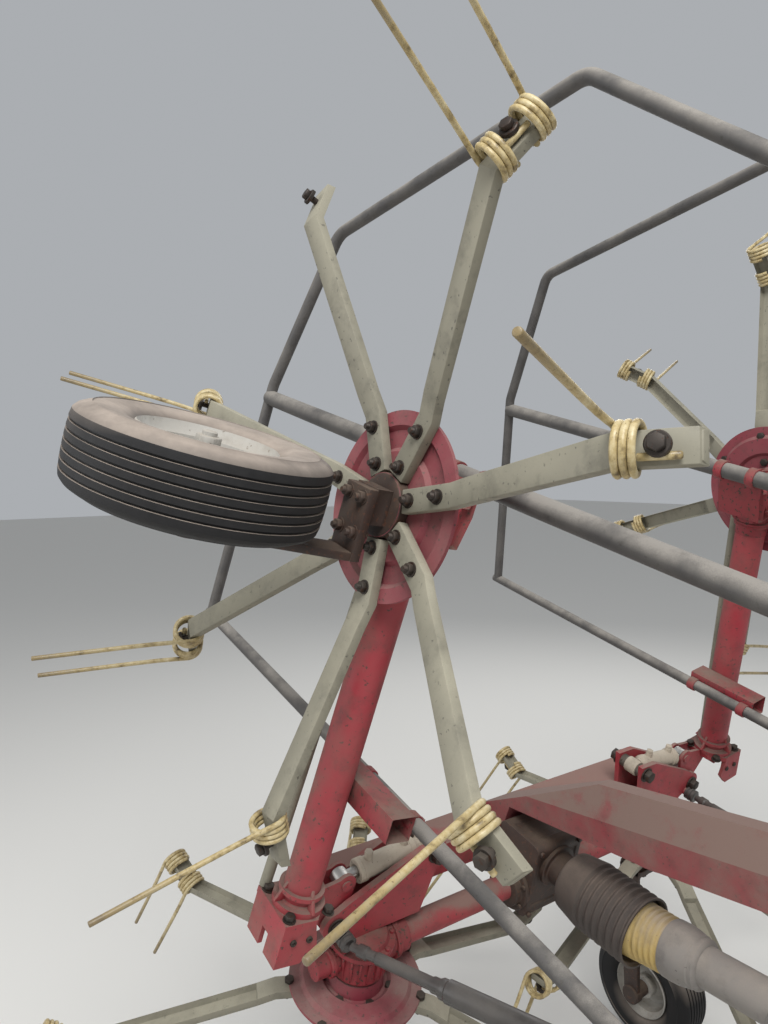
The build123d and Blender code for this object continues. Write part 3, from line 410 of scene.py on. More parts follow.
def turned(name, outline, steps=64, closed=False):
    """Draws a half profile of (radius, height) by extruding one point, and spins it round Z."""
    deselect()
    bpy.ops.mesh.primitive_plane_add(size=0.001)
    piece = bpy.context.object
    piece.name = name
    bpy.ops.object.mode_set(mode="EDIT")
    bpy.ops.mesh.select_mode(type="VERT")
    bpy.ops.mesh.select_all(action="SELECT")
    bpy.ops.mesh.merge(type="CENTER")
    bpy.ops.transform.translate(value=(outline[0][0], 0, outline[0][1]))
    loop = list(outline) + ([outline[0]] if closed else [])
    for (r0, z0), (r1, z1) in zip(loop, loop[1:]):
        pulled((r1 - r0, 0, z1 - z0))
    bpy.ops.mesh.select_all(action="SELECT")
    bpy.ops.mesh.spin(steps=steps, angle=2 * math.pi, center=(0, 0, 0), axis=(0, 0, 1))
    bpy.ops.mesh.select_all(action="SELECT")
    bpy.ops.mesh.remove_doubles(threshold=0.00003)
    bpy.ops.mesh.normals_make_consistent(inside=False)
    bpy.ops.object.mode_set(mode="OBJECT")
    return piece


# %% [markdown]
# ## Spring tines
# A tine is one length of 9.5 mm spring wire, wound into a coil on each side of its clamp
# and left straight below. The coil could be a bevelled curve, but sweeping a ring with
# the Screw modifier gives the true pitch and a clean tube. Half a tine is wound, its
# leg is drawn out of the coil's last ring in short pulls, and the other half is its
# mirror image. The lacquer is ivory, brown where hay has rubbed it, dark at the tips.

# %% Spring wire
WIRE_R = 0.00475
COIL_MEAN = 0.02895  # coil radius to the wire's middle
COIL_START, COIL_END = 0.0195, 0.05125  # the coil's two ends, from the bolt's middle
BRIDGE_OFF = 0.01175  # the wire between the coils passes this far behind the bolt
BRIDGE_ANGLE = math.asin(BRIDGE_OFF / COIL_MEAN)
COIL_TURN = 3 * 2 * math.pi + math.pi / 2 + BRIDGE_ANGLE
LEG = 0.313
WEAR_CLOUD = 1 / 0.02  # the lacquer is rubbed off in patches of 20 mm
RUST_PIT = 1 / 0.0035  # rust pits about 3.5 mm apart

spring_wire, tree, shader = new_finish("lacquered_spring_wire")
place = add_node(tree, "ShaderNodeTexCoord")
rubbed = noise(tree, place, WEAR_CLOUD, 6.0, 0.68)
pits = noise(tree, place, RUST_PIT, 3.0)
tone = ramp(tree, rubbed, [(0.32, "64553a"), (0.47, "ac996c"), (0.7, "cabd98")])
rusty = laid_over(tree, spread(tree, pits, 0.66, 0.73, 0.0, 0.8), tone.outputs["Color"], "4b3420")
along = add_node(tree, "ShaderNodeAttribute", attribute_name="along_leg")
worn_tip = spread(tree, maths(tree, "MULTIPLY", along, rubbed), 0.2, 0.5, 0.0, 0.8)
bump = add_node(tree, "ShaderNodeBump", {"Height": pits, "Strength": 0.3, "Distance": 0.0004})
feed(tree, shader, {"Base Color": laid_over(tree, worn_tip, rusty, "5a4a35"), "Roughness": 0.42, "Normal": bump})

# %% Wind half a tine: a ring of wire, swept by the Screw modifier round X
deselect()
bpy.ops.mesh.primitive_circle_add(vertices=12, radius=WIRE_R, location=(COIL_START, 0, 0))
tine = bpy.context.object
tine.name = "half_tine"
bpy.ops.object.mode_set(mode="EDIT")
bpy.ops.mesh.select_all(action="SELECT")
bpy.ops.transform.translate(value=(0, COIL_MEAN, 0))
bpy.ops.object.mode_set(mode="OBJECT")
bpy.ops.object.transform_apply(location=True, rotation=True, scale=True)
winding = tine.modifiers.new("winding", "SCREW")
winding.axis = "X"
winding.angle = COIL_TURN
winding.screw_offset = COIL_END - COIL_START
winding.steps = 84
winding.render_steps = 84
winding.use_merge_vertices = False
bpy.ops.object.modifier_apply(modifier=winding.name)
lay(tine, Matrix.Rotation(-math.pi / 2 - BRIDGE_ANGLE, 4, "X"))

# %% Pull the leg out of the coil's outer end and close both ends
bpy.ops.object.mode_set(mode="EDIT")
pick(tine, lambda e: e.is_boundary and all(v.co.x > 0.04 for v in e.verts), "EDGE")
pulls = [(0, -0.0004, 0.012), (0, -0.0012, 0.018), (0, -0.0016, 0.04), (0, -0.0006, 0.06), (0, 0, 0.08),
         (0, 0, 0.09)]
for pull in pulls:
    pulled(pull)
pulled((0, 0, LEG - sum(p[2] for p in pulls)))
bpy.ops.mesh.edge_face_add()
bpy.ops.mesh.bevel(offset=0.0014, segments=2, affect="EDGES")
pick(tine, lambda e: e.is_boundary, "EDGE")
bpy.ops.mesh.edge_face_add()
bpy.ops.mesh.select_all(action="SELECT")
bpy.ops.mesh.normals_make_consistent(inside=False)
smoothed(tine, 50)
rub = tine.data.attributes.new("along_leg", "FLOAT", "POINT")
for v, value in zip(tine.data.vertices, rub.data):
    value.value = min(max((v.co.z - 0.03) / LEG, 0.0), 1.0)
print("half a tine,", len(tine.data.polygons), "faces,", round(tine.dimensions.z, 4), "tall")

# %% [markdown]
# ## Rotor arms
# An arm is a pressed channel, 42 mm wide and 20 mm deep, open towards the disc, that
# runs flat under the disc, drops along its middle and turns up again where the tine
# sits. It starts as a block the size of its root; its end face is pulled outwards three
# times, and its upper faces are inset and pushed in to leave 4 mm of steel. Two bolts
# hold it to the disc, their nuts and threads standing proud underneath.

# %% One arm
ROOT, DROP_START, BEND, KINK, TIP = 0.060, 0.178, 0.218, 0.561, 0.6481
ARM_TOP, ARM_DEPTH, ARM_WIDE = -0.002, 0.020, 0.042
DROP, FALL, RISE = 0.014, 0.098, 0.0352  # how far each of the arm's three pulls goes down or up
DISC_THICK = 0.005
arm = block(((ROOT + DROP_START) / 2, 0, ARM_TOP - ARM_DEPTH / 2), (DROP_START - ROOT, ARM_WIDE, ARM_DEPTH))
pick(arm, lambda f: f.normal.x > 0.9)
for pull in ((BEND - DROP_START, 0, -DROP), (KINK - BEND, 0, -FALL), (TIP - KINK, 0, RISE)):
    pulled(pull)
pick(arm, lambda f: f.normal.z > 0.5 and f.calc_center_median().x > BEND)
bpy.ops.mesh.inset(thickness=0.004, depth=-0.0155)
shaved(arm, 0.0016)

# %% Bolt, washer and nut, drawn as profiles and a six-sided bar
def hex_head(name, across, thickness, at):
    """A six-sided head with its corners turned off."""
    deselect()
    bpy.ops.mesh.primitive_cylinder_add(vertices=6, radius=across / math.sqrt(3), depth=thickness, location=at)
    head = bpy.context.object
    head.name = name
    bpy.ops.object.transform_apply(location=True, rotation=True, scale=True)
    bpy.ops.object.mode_set(mode="EDIT")
    pick(head, lambda f: abs(f.normal.z) > 0.9)
    bpy.ops.mesh.inset(thickness=across * 0.06)
    bpy.ops.transform.resize(value=(1, 1, 1.12))
    return shaved(head, across * 0.03, 1, 50)


def bolt_end(name, radius, stand):
    """Washer, nut and the bolt's threaded end, standing up from z = 0."""
    washer = turned(name + "_washer", [(0, 0), (radius * 2.2, 0), (radius * 2.2, radius * 0.35),
                                       (radius * 1.1, radius * 0.35), (0, radius * 0.35)], 20)
    nut = hex_head(name + "_nut", radius * 3.1, radius * 1.5, (0, 0, radius * 1.1))
    thread = [(0, radius * 1.6), (radius, radius * 1.6)]
    for k in range(4):
        low = radius * 1.9 + k * (stand - radius * 1.9) / 4
        thread += [(radius, low), (radius * 0.86, low + (stand - radius * 1.9) / 8)]
    thread += [(radius * 0.8, stand), (0, stand)]
    end = turned(name + "_thread", thread, 16)
    return smoothed(joined([washer, nut, end], name))


arm_nut = bolt_end("arm_nut", 0.006, 0.019)
arm_head = hex_head("arm_head", 0.019, 0.0075, (0, 0, 0.0037))
BOLT_RADII = (0.078, 0.150)  # where the two bolts of an arm sit on the disc
print("an arm of", len(arm.data.polygons), "faces and its bolts of", len(arm_nut.data.polygons))

# %% Clamp: a round cap and a nut hold the tine's middle, the bridge between its coils
clamp_cap = turned("clamp_cap", [(0, 0.0205), (0.0135, 0.0205), (0.015, 0.0192), (0.015, 0.0135), (0.0062, 0.0132),
                                 (0.0062, 0.0003), (0, 0.0003)], 28)
clamp_nut = hex_head("clamp_nut", 0.019, 0.009, (0, 0, 0.0245))
clamp = smoothed(joined([clamp_cap, clamp_nut], "clamp"))
deselect()
bpy.ops.mesh.primitive_cylinder_add(vertices=12, radius=WIRE_R, depth=2 * COIL_START + 0.006,
                                    rotation=(0, math.pi / 2, 0), location=(0, -BRIDGE_OFF, 0.00784))
bridge = bpy.context.object
bpy.ops.object.transform_apply(location=True, rotation=True, scale=True)
bpy.ops.object.mode_set(mode="EDIT")
pick(bridge, lambda f: abs(f.normal.x) > 0.9)
bpy.ops.mesh.inset(thickness=0.0016)
bpy.ops.transform.resize(value=(1.08, 1, 1))
bpy.ops.object.mode_set(mode="OBJECT")
bridge.name = "bridge"
smoothed(bridge, 50)
bridge.data.attributes.new("along_leg", "FLOAT", "POINT")

# %% [markdown]
# ## Four rotors from the same parts
# Every arm, tine, clamp and bolt is a copy of the one on the bench, laid round its disc.
# The phases come from the photograph, and so do the tines that are missing or have lost
# a leg. Inner rotors turn the other way, so their tines trail the other way.

# %% Lay arms, tines and bolts round each rotor
ARMS = 7
END_RISE = math.radians(22)  # the end piece turns up by this much
BOLT_ALONG = 0.054  # the clamp's bolt, from the kink along the end piece
rise, run = math.sin(END_RISE), math.cos(END_RISE)
seat = Matrix(((run, 0, rise, KINK + BOLT_ALONG * run), (0, -1, 0, 0),
               (rise, 0, -run, ARM_TOP - DROP - FALL + BOLT_ALONG * rise - ARM_DEPTH), (0, 0, 0, 1)))
phases = {"outer_right": 325.5, "inner_right": 29.5, "inner_left": 12.5, "outer_left": 33.5}
both, neither, inner_only = (True, True), (False, False), (True, False)
fitted = {
    "outer_right": [neither, both, inner_only, inner_only, inner_only, both, both],
    "inner_right": [both, both, both, neither, both, both, both],
    "inner_left": [both] * ARMS,
    "outer_left": [both] * ARMS,
}
for rotor, frame_matrix in rotor_frames.items():
    body = "rotor_" + rotor
    trail = Matrix.Scale(1 if rotor.startswith("outer") else -1, 4, (0, 1, 0))
    arms, wires, bolts = [], [], []
    for k in range(ARMS):
        spoke = frame_matrix @ Matrix.Rotation(math.radians(phases[rotor] + k * 360 / ARMS), 4, "Z")
        arms.append(copied(arm, "arm_copy", spoke))
        end = spoke @ seat @ trail
        for flip, there in zip((-1, 1), fitted[rotor][k]):
            if there:
                wires.append(copied(tine, "tine_copy", end @ Matrix.Scale(flip, 4, (1, 0, 0))))
        if any(fitted[rotor][k]):
            wires.append(copied(bridge, "bridge_copy", end))
        bolts.append(copied(clamp, "clamp_copy", end))
        bolts += copies(arm_nut, [spoke @ shift((r, 0, ARM_TOP - ARM_DEPTH)) @ OVER for r in BOLT_RADII])
        bolts += copies(arm_head, [spoke @ shift((r, 0, DISC_THICK)) for r in BOLT_RADII])
    finished(joined(arms, "arms_" + rotor), arm_enamel, "grey_paint", body, body + "_arms")
    finished(joined(wires, "tines_" + rotor), spring_wire, "spring_steel", body, body + "_tines")
    finished(joined(bolts, "arm_bolts_" + rotor), bolt_steel, "steel", body)
    print(rotor, "has", len(wires), "pieces of wire")
scrapped(arm, tine, bridge, clamp, arm_nut, arm_head)

# %% [markdown]
# ## Rubber and tyres
# Implement tyres with seven plain ribs round the tread. The rubber is near black where
# the tread still touches grass, and pale brown where dust has settled on its upper
# faces. Fine crazing breaks its surface, and its roughness stays high.

# %% Tyre rubber
TREAD_RUB = 1 / 0.018  # rubbed patches about 18 mm across
CRACK = 1 / 0.004  # crazing in the sidewall, 4 mm cells
tyre_rubber, tree, shader = new_finish("tyre_rubber")
place = add_node(tree, "ShaderNodeTexCoord")
cloudy = spread(tree, noise(tree, place, DUST_CLOUD, 6.0, 0.65), 0.3, 0.62, 0.5)
lies = maths(tree, "MULTIPLY", upward_face(tree, place, 0.15, 0.85), cloudy, use_clamp=True)
rub = noise(tree, place, TREAD_RUB, 6.0, 0.7)
tone = ramp(tree, rub, [(0.35, "070709"), (0.75, "1f1e1f")])
crazing = add_node(tree, "ShaderNodeTexVoronoi", {"Vector": place.outputs["Object"], "Scale": CRACK},
                   feature="DISTANCE_TO_EDGE")
bump = add_node(tree, "ShaderNodeBump", {"Height": spread(tree, crazing, 0.0, 0.06), "Strength": 0.25,
                                         "Distance": 0.0004})
feed(tree, shader, {"Base Color": laid_over(tree, lies, tone.outputs["Color"], "a3968a"),
                    "Roughness": spread(tree, rub, 0.0, 1.0, 0.5, 0.95), "Normal": bump})

# %% [markdown]
# A tyre is drawn as half a cross-section and spun round its axle. The tread's ribs are
# part of that section: between two ribs the outline steps 4 mm inwards and back out.
# The sidewall carries the fine moulding ridge near the shoulder and the bead ring.

# %% A tyre from its cross-section
GROOVE_DEEP, GROOVE_WIDE, RIBS = 0.0042, 0.0034, 7


def tyre_section(radius, width, seat):
    """Half a tyre's cross-section, from the bead seat over the ribs and back."""
    half = width / 2
    pitch = (width - 0.030) / RIBS
    side = [(seat + 0.001, half - 0.030), (seat + 0.002, half - 0.021), (seat + 0.010, half - 0.017),
            (seat + 0.013, half - 0.0125), (seat + 0.028, half - 0.004), (radius - 0.040, half),
            (radius - 0.030, half - 0.0005), (radius - 0.0285, half + 0.0012), (radius - 0.0265, half - 0.0004),
            (radius - 0.018, half - 0.004)]
    tread = []
    for k in range(RIBS - 1, 0, -1):
        z = (k - RIBS / 2) * pitch
        crown = radius - 0.0035 * (z / half) ** 2 - 0.008 * (abs(z) / half) ** 6
        for dz, drop in ((1, 0.0012), (0.62, 0), (0.5, GROOVE_DEEP), (-0.5, GROOVE_DEEP), (-0.62, 0), (-1, 0.0012)):
            tread.append((crown - (drop if abs(dz) < 0.6 else 0.0), z + dz * GROOVE_WIDE))
    corner = [(radius - 0.009, half - 0.0088), (radius - 0.0035, half - 0.0150)]
    return side + corner + tread + [(r, -z) for r, z in reversed(corner)] + [(r, -z) for r, z in reversed(side)]


# %% [markdown]
# The rim is pressed from sheet: a rolled lip that holds the bead, a well, and a dish
# with a raised ring and a hub barrel. Four studs hold the dish to the hub, and the axle
# ends in a nut over a flat keeper strap.

# %% Rims, tyres and axle ends
def rim_section(seat, width):
    """The rim's whole section: hub, dish, well and both rolled lips, back along the inside."""
    half = width / 2
    lip = half - 0.012
    return [(0.019, -0.038), (0.032, -0.038), (0.032, -0.010), (0.040, -0.002), (seat * 0.62, 0.006),
            (seat * 0.68, 0.011), (seat * 0.80, 0.011), (seat - 0.010, 0.006), (seat - 0.0065, 0.000),
            (seat - 0.0065, -half + 0.030), (seat - 0.001, -half + 0.024), (seat + 0.004, -lip - 0.002),
            (seat + 0.0065, -lip), (seat + 0.006, -lip + 0.004), (seat + 0.001, -half + 0.030),
            (seat - 0.003, -half + 0.034), (seat - 0.003, half - 0.034), (seat + 0.001, half - 0.030),
            (seat + 0.006, lip - 0.004), (seat + 0.0065, lip), (seat + 0.004, lip + 0.002),
            (seat - 0.001, half - 0.024), (seat - 0.0065, half - 0.030), (seat - 0.0068, 0.010),
            (seat - 0.010, 0.0095), (seat * 0.80, 0.0145),
            (seat * 0.68, 0.0145), (seat * 0.62, 0.0095), (0.040, 0.0020), (0.032, 0.006), (0.032, 0.026),
            (0.028, 0.030), (0.019, 0.030)]


STRAP_TURN, STUD_TURN = 0.5, 0.35  # how the wheels happened to stop, in radians
STUD_CIRCLE = 0.53  # the studs' circle, as a share of the rim's seat
wheel_stud = bolt_end("wheel_stud", 0.005, 0.014)
strap = block((0, 0, 0.0325), (0.112, 0.030, 0.004))
pick(strap, lambda e: abs(e.verts[0].co.z - e.verts[1].co.z) > 0.003, "EDGE")
bpy.ops.mesh.bevel(offset=0.0145, segments=6, affect="EDGES")
shaved(strap, 0.0008)
axle_nut = hex_head("axle_nut", 0.036, 0.018, (0, 0, 0.0450))
axle_tip = turned("axle_tip", [(0.0, 0.054), (0.012, 0.054), (0.012, 0.061), (0.010, 0.063), (0.0, 0.063)], 20)
axle_end = smoothed(joined([axle_nut, axle_tip], "axle_end"))
wheel_sites = {
    "outer": (WHEEL_OUT, 0.130, 0.106, AXLE_OUT),
    "inner": (WHEEL_IN, 0.120, 0.080, AXLE_IN),
}
for kind, (radius, width, seat_radius, axle) in wheel_sites.items():
    tyre = smoothed(turned("tyre", tyre_section(radius, width, seat_radius), 96, closed=True), 30)
    dish = smoothed(turned("dish", rim_section(seat_radius, width), 72, closed=True), 35)
    for side in sides:
        wheel = rotor_frames[f"{kind}_{side}"] @ shift((0, *axle)) @ RIGHTWARD
        body = f"wheel_{kind}_{side}"
        finished(copied(tyre, f"ribbed_tyre_{kind}_{side}", wheel), tyre_rubber, "tyre", body, f"tyre_{kind}_{side}")
        finished(copied(dish, f"dished_rim_{kind}_{side}", wheel), rim_enamel, "rim_paint", body,
                 f"rim_{kind}_{side}")
        small = [copied(strap, "strap_copy", wheel @ Matrix.Rotation(STRAP_TURN, 4, "Z"))]
        small += copies(wheel_stud, [wheel @ Matrix.Rotation(STUD_TURN, 4, "Z") @ step
                                     @ shift((seat_radius * STUD_CIRCLE, 0, 0.005)) for step in ring_of(4)])
        finished(joined(small, f"hub_fittings_{kind}_{side}"), rim_enamel, "rim_paint", body)
        finished(copied(axle_end, f"axle_end_{kind}_{side}", wheel), rim_enamel, "rim_paint",
                 "wing_" + side if kind == "outer" else "frame")
    scrapped(tyre, dish)
scrapped(wheel_stud, strap, axle_end)
print("four wheels, the outer", 2 * WHEEL_OUT, "m and the inner", 2 * WHEEL_IN, "m across")

# %% [markdown]
# ## Gearboxes
# Each rotor hangs on a small bevel gearbox of cast iron. Upright fins stand round the
# casting, a bolted cover closes it on top, and a flanged neck takes the drive tube.

# %% Gearbox parts on the bench
# Cast iron under old paint: dull red with brown patches
cast_enamel = dusty_paint("cast_enamel", "8c1f2d", "776358", "38201b", 0.48, 0.8, 0.6)
GEAR_R, GEAR_TOP = 0.074, 0.056
FINS, COVER_BOLTS, PLUG_TURN = 22, 8, math.radians(-72)


def gear_core(mid):
    """The finned casting with its bolted cover and its oil plug, its drive axis at height mid."""
    low, high = mid - GEAR_R * 0.62 + 0.005, mid + GEAR_TOP
    outline = [(0, -0.058), (0.025, -0.058), (0.025, low - 0.004), (0.040, low), (0.058, low), (0.064, low + 0.009),
               (0.064, high - 0.026), (GEAR_R, high - 0.023), (GEAR_R, high - 0.013), (0.060, high - 0.012),
               (0.055, high - 0.004), (0.034, high - 0.002), (0.030, high), (0, high)]
    core = smoothed(turned("gear_core", outline, 64), 30)
    fin = block((0.0655, 0, (low + high) / 2 - 0.007), (0.017, 0.0055, high - low - 0.036))
    pick(fin, lambda e: all(v.co.x > 0.07 for v in e.verts) and abs(e.verts[0].co.y - e.verts[1].co.y) > 0.003
         and e.verts[0].co.z < (low + high) / 2, "EDGE")
    bpy.ops.transform.translate(value=(-0.009, 0, 0))
    shaved(fin, 0.0012)
    head = hex_head("cover_head", 0.0105, 0.006, (0.067, 0, high - 0.010))
    parts = [core, *copies(fin, ring_of(FINS, 0.5)), *copies(head, ring_of(COVER_BOLTS, 0.5))]
    scrapped(fin, head)
    plug = hex_head("plug", 0.019, 0.009, (0, 0, 0.0705))
    parts.append(lay(plug, shift((0, 0, mid - 0.01)) @ Matrix.Rotation(PLUG_TURN, 4, "Z") @ BACKWARD))
    return parts


def neck(reach, radius, flange):
    """The flanged socket that takes a drive tube."""
    outline = [(0, 0.04), (radius, 0.04), (radius, GEAR_R), (flange - 0.001, GEAR_R + 0.001), (flange, GEAR_R + 0.003),
               (flange, GEAR_R + 0.006), (flange - 0.0012, GEAR_R + 0.0072), (flange, GEAR_R + 0.0084),
               (flange, GEAR_R + 0.012), (flange - 0.001, GEAR_R + 0.014), (radius, GEAR_R + 0.0145),
               (radius, reach - 0.001), (radius - 0.001, reach), (0, reach)]
    return smoothed(turned("neck", outline, 40), 30)


# %% Set a gearbox on every rotor
for kind, mid in (("outer", DRIVE_Z - OUTER_DISC), ("inner", DRIVE_Z - INNER_DISC)):
    parts = gear_core(mid)
    centre = shift((0, 0, mid))
    parts.append(lay(neck(GEAR_R + 0.040, 0.040, 0.046), centre @ LEFTWARD))
    if kind == "inner":
        parts.append(lay(neck(PIVOT_X - INNER_X + 0.034, 0.024, 0.030), centre @ RIGHTWARD))
    gearbox = joined(parts, "gearbox")
    print(kind, "gearbox with", len(gearbox.data.polygons), "faces")
    paired(gearbox, f"finned_gearbox_{kind}_", rotor_frames[kind + "_right"], cast_enamel, "red_paint",
           carrier[kind], f"gearbox_{kind}_")

# %% [markdown]
# ## Hinge fittings
# Four bolts and four gussets tie the wing tube's foot to the hinge block's flange
# plate, a weld bead runs round the tube, and two socket screws hold the front wall.
# The fold pin is kept by a black hexagon nut.

# %% Bolts, gussets, screws and the fold pin's nut
flange_head = hex_head("flange_head", 0.019, 0.010, (0, 0, 0.005))
washer = turned("flange_washer", [(0, 0), (0.0135, 0), (0.0135, 0.002), (0.0, 0.002)], 24)
flange_bolt = joined([lay(flange_head, shift((0, 0, 0.0015))), smoothed(washer)], "flange_bolt")
gusset = block((0.045, 0, 0.025), (0.030, 0.007, 0.050))
pick(gusset, lambda v: v.co.x > 0.05 and v.co.z > 0.04, "VERT")
bpy.ops.transform.translate(value=(-0.022, 0, 0))
shaved(gusset, 0.0012)
WELD_RIPPLES = 45
weld = chosen(turned("weld", [(0.0375, 0.004), (0.0415, 0.001), (0.0430, -0.001), (0.0375, -0.001)], 90,
                     closed=True))
bpy.ops.object.mode_set(mode="EDIT")
pick(weld, lambda v: v.co.xy.length > 0.040 and math.sin(WELD_RIPPLES * math.atan2(v.co.y, v.co.x)) > 0, "VERT")
bpy.ops.transform.translate(value=(0, 0, 0.0009))
smoothed(weld, 60)
screw = smoothed(turned("screw", [(0, 0.0015), (0.0028, 0.0015), (0.0034, 0.0045), (0.0062, 0.0045),
                                  (0.0068, 0.0038), (0.0068, 0), (0, 0)], 20), 30)
pin_nut = bolt_end("pin_nut", 0.0095, 0.020)

# %% Lay them on both wings
FOOT_X, FOOT_PLATE = 0.076, 0.012  # where the tube's foot plate stands on the wing, and its thickness
foot_bolts = [shift((FOOT_X, y, DRIVE_Z + z)) @ RIGHTWARD for y in (-0.045, 0.045) for z in (-0.044, 0.046)]
wall_screws = [shift((0.035, 0.060, z)) @ FORWARD for z in (-0.105, -0.142)]
tube_foot = shift((FOOT_X + FOOT_PLATE, 0, DRIVE_Z)) @ RIGHTWARD
shorter = Matrix.Scale(0.8, 4, (0, 0, 1))
held = joined(copies(flange_bolt, foot_bolts) + copies(screw, wall_screws), "held")
paired(held, "hinge_bolts_", wing, bolt_steel, "steel", "wing_")
gussets = copies(gusset, [tube_foot @ step @ shorter for step in ring_of(4)])
ribs = joined([copied(weld, "weld_copy", tube_foot), *gussets], "ribs")
paired(ribs, "tube_gussets_", wing, crimson_enamel, "red_paint", "wing_")
paired(pin_nut, "fold_pin_nut_", row @ shift((PIVOT_X, 0.016, 0)) @ FORWARD, bolt_steel, "steel", "frame")
scrapped(flange_bolt, gusset, weld, screw)

# %% [markdown]
# ## Wheel legs
# Under every gearbox a square post carries a foot, and a leg of thick flat bar runs
# down beside the tyre to a turned boss for the axle. The bar is a short block whose
# lower face is pulled down twice and narrowed each time. Its paint has gone dark brown.

# %% Wheel legs
# Paint on the legs, nearly black-brown with old grease and rust
leg_enamel = dusty_paint("leg_enamel", "2e211e", "665749", "4a2c1f", 0.42, 0.7, 0.6)
leg_stud = bolt_end("leg_stud", 0.006, 0.018)
LEG_THICK, LEG_TOP, FOOT_UNDER = 0.016, -0.090, -0.0785
for kind, (_, width, _, (axle_y, axle_z)) in wheel_sites.items():
    plate_x = -(width / 2 + 0.020)
    outer_x = plate_x - LEG_THICK
    leg = block(((plate_x + outer_x) / 2, 0, -0.075), (LEG_THICK, 0.068, 0.030))
    drop = LEG_TOP - axle_z
    for part, narrow in ((0.45, 0.84), (0.55, 0.88)):
        pick(leg, lambda f: f.normal.z < -0.9)
        pulled((0, axle_y * part, -drop * part))
        bpy.ops.transform.resize(value=(1, narrow, 1))
    shaved(leg, 0.003)
    foot = block(((outer_x + 0.030) / 2, 0, -0.069), (0.030 - outer_x, 0.072, 0.020))
    pick(foot, lambda f: f.normal.z > 0.9)
    bpy.ops.mesh.inset(thickness=0.008)
    pulled((0, 0, 0.004))
    shaved(foot, 0.003)
    post = block((0, 0, -0.0425), (0.066, 0.066, 0.034))
    pick(post, lambda f: abs(f.normal.z) < 0.1)
    bpy.ops.mesh.inset(thickness=0.006, depth=-0.003, use_individual=True)
    shaved(post, 0.002)
    boss = smoothed(turned("boss", [(0, outer_x - 0.006), (0.024, outer_x - 0.006), (0.028, outer_x - 0.002),
                                    (0.028, plate_x + 0.004), (0.024, plate_x + 0.008), (0.022, -0.0385),
                                    (0.014, -0.0385), (0.014, 0.034), (0, 0.034)], 40), 30)
    lay(boss, shift((0, axle_y, axle_z)) @ RIGHTWARD)
    studs = copies(leg_stud, [shift((x, y, FOOT_UNDER)) @ OVER for x in (-0.052, 0.012) for y in (-0.022, 0.022)])
    whole = joined([leg, foot, post, boss, *studs], "wheel_leg")
    paired(whole, f"bent_wheel_leg_{kind}_", rotor_frames[kind + "_right"], leg_enamel, "black_paint",
           carrier[kind], f"wheel_leg_{kind}_")
scrapped(leg_stud)

# %% [markdown]
# ## Guard brackets
# A folded box bracket, open at its ends, stands on every wing tube and holds the
# guard's cross tube with two bands. A second, wedge-shaped one stands on the gearbox.

# %% Guard brackets with their bands
BOX_X = 0.330
box = block((BOX_X, 0.050, -0.0440), (0.052, 0.200, 0.0570))
pick(box, lambda f: abs(f.normal.y) > 0.9)
bpy.ops.mesh.inset(thickness=0.005, depth=-0.090)
shaved(box, 0.0022)
wedge = block((OUTER_X - 0.010, 0, -0.0450), (0.080, 0.120, 0.0190))
pick(wedge, lambda f: f.normal.z > 0.9)
pulled((0.0575, 0, 0.0142))
bpy.ops.transform.resize(value=(0.8, 1, 1))
pick(wedge, lambda f: abs(f.normal.y) > 0.9)
bpy.ops.mesh.inset(thickness=0.005, depth=-0.012)
shaved(wedge, 0.0018)
band = turned("band", [(0.0152, -0.011), (0.0178, -0.011), (0.0186, -0.0095), (0.0186, 0.0095), (0.0178, 0.011),
                       (0.0152, 0.011)], 32, closed=True)
lay(smoothed(band, 30), BACKWARD)
wider = Matrix.Diagonal((1.39, 1, 1.39, 1))  # the hoop's tube is that much thicker than the cross tube
band_places = [shift((BOX_X, y, 0)) for y in (-0.028, 0.128)]
band_places += [shift((0.985, y, 0)) @ wider for y in (-0.045, 0.045)]
holder = joined([box, wedge, *copies(band, band_places)], "guard_holder")
scrapped(band)
paired(holder, "guard_holders_", wing, cast_enamel, "red_paint", "wing_", "guard_brackets_")

# %% [markdown]
# ## Fold cylinders
# A short hydraulic cylinder unfolds each wing. Its barrel is a drawn tube in cream-grey
# paint with a welded cap, an eye, two oil ports and a gland at the rod's end. The rod
# itself is a CAD piece, because it slides.

# %% Cylinder barrels
def frame_of(x, y, z, place):
    """The matrix whose axes are three unit vectors, at a place."""
    frame_matrix = Matrix.Identity(4)
    for column, axis in enumerate((x, y, z, place)):
        frame_matrix.col[column][:3] = axis
    return frame_matrix


CYLINDER_X, CYLINDER_Z = 0.380, 0.096  # the base pin, from the middle of the row
cylinder_base = row @ Vector((CYLINDER_X, -0.030, CYLINDER_Z))
rod_eye = wing @ Vector((0.082, -0.030, 0.012))
along = (rod_eye - cylinder_base).normalized()
pin_line = (row.to_3x3() @ Vector((0, 1, 0))).normalized()
across = pin_line.cross(along).normalized()
cylinder_frame = frame_of(across, pin_line, along, cylinder_base)
barrel = smoothed(turned("barrel", [
    (0, 0.021), (0.0165, 0.021), (0.018, 0.030), (0.023, 0.036), (0.0252, 0.0375), (0.0252, 0.050), (0.024, 0.0515),
    (0.024, 0.166), (0.0265, 0.1675), (0.0265, 0.176), (0.0255, 0.177), (0.0265, 0.178), (0.0265, 0.185),
    (0.0250, 0.1872), (0.0160, 0.1872), (0.0150, 0.185), (0.0125, 0.185), (0.0125, 0.160), (0, 0.160)], 56), 30)
eye = turned("eye", [(0.0123, -0.018), (0.0205, -0.018), (0.0218, -0.0165), (0.0218, 0.0165), (0.0205, 0.018),
                     (0.0123, 0.018)], 36, closed=True)
lay(smoothed(eye, 30), BACKWARD)
port = turned("port", [(0, 0.020), (0.0105, 0.020), (0.0095, 0.027), (0.0095, 0.032), (0.0085, 0.033),
                       (0.0, 0.033)], 24)
fitting = joined([smoothed(port, 30), hex_head("fitting", 0.017, 0.008, (0, 0, 0.037))], "fitting")
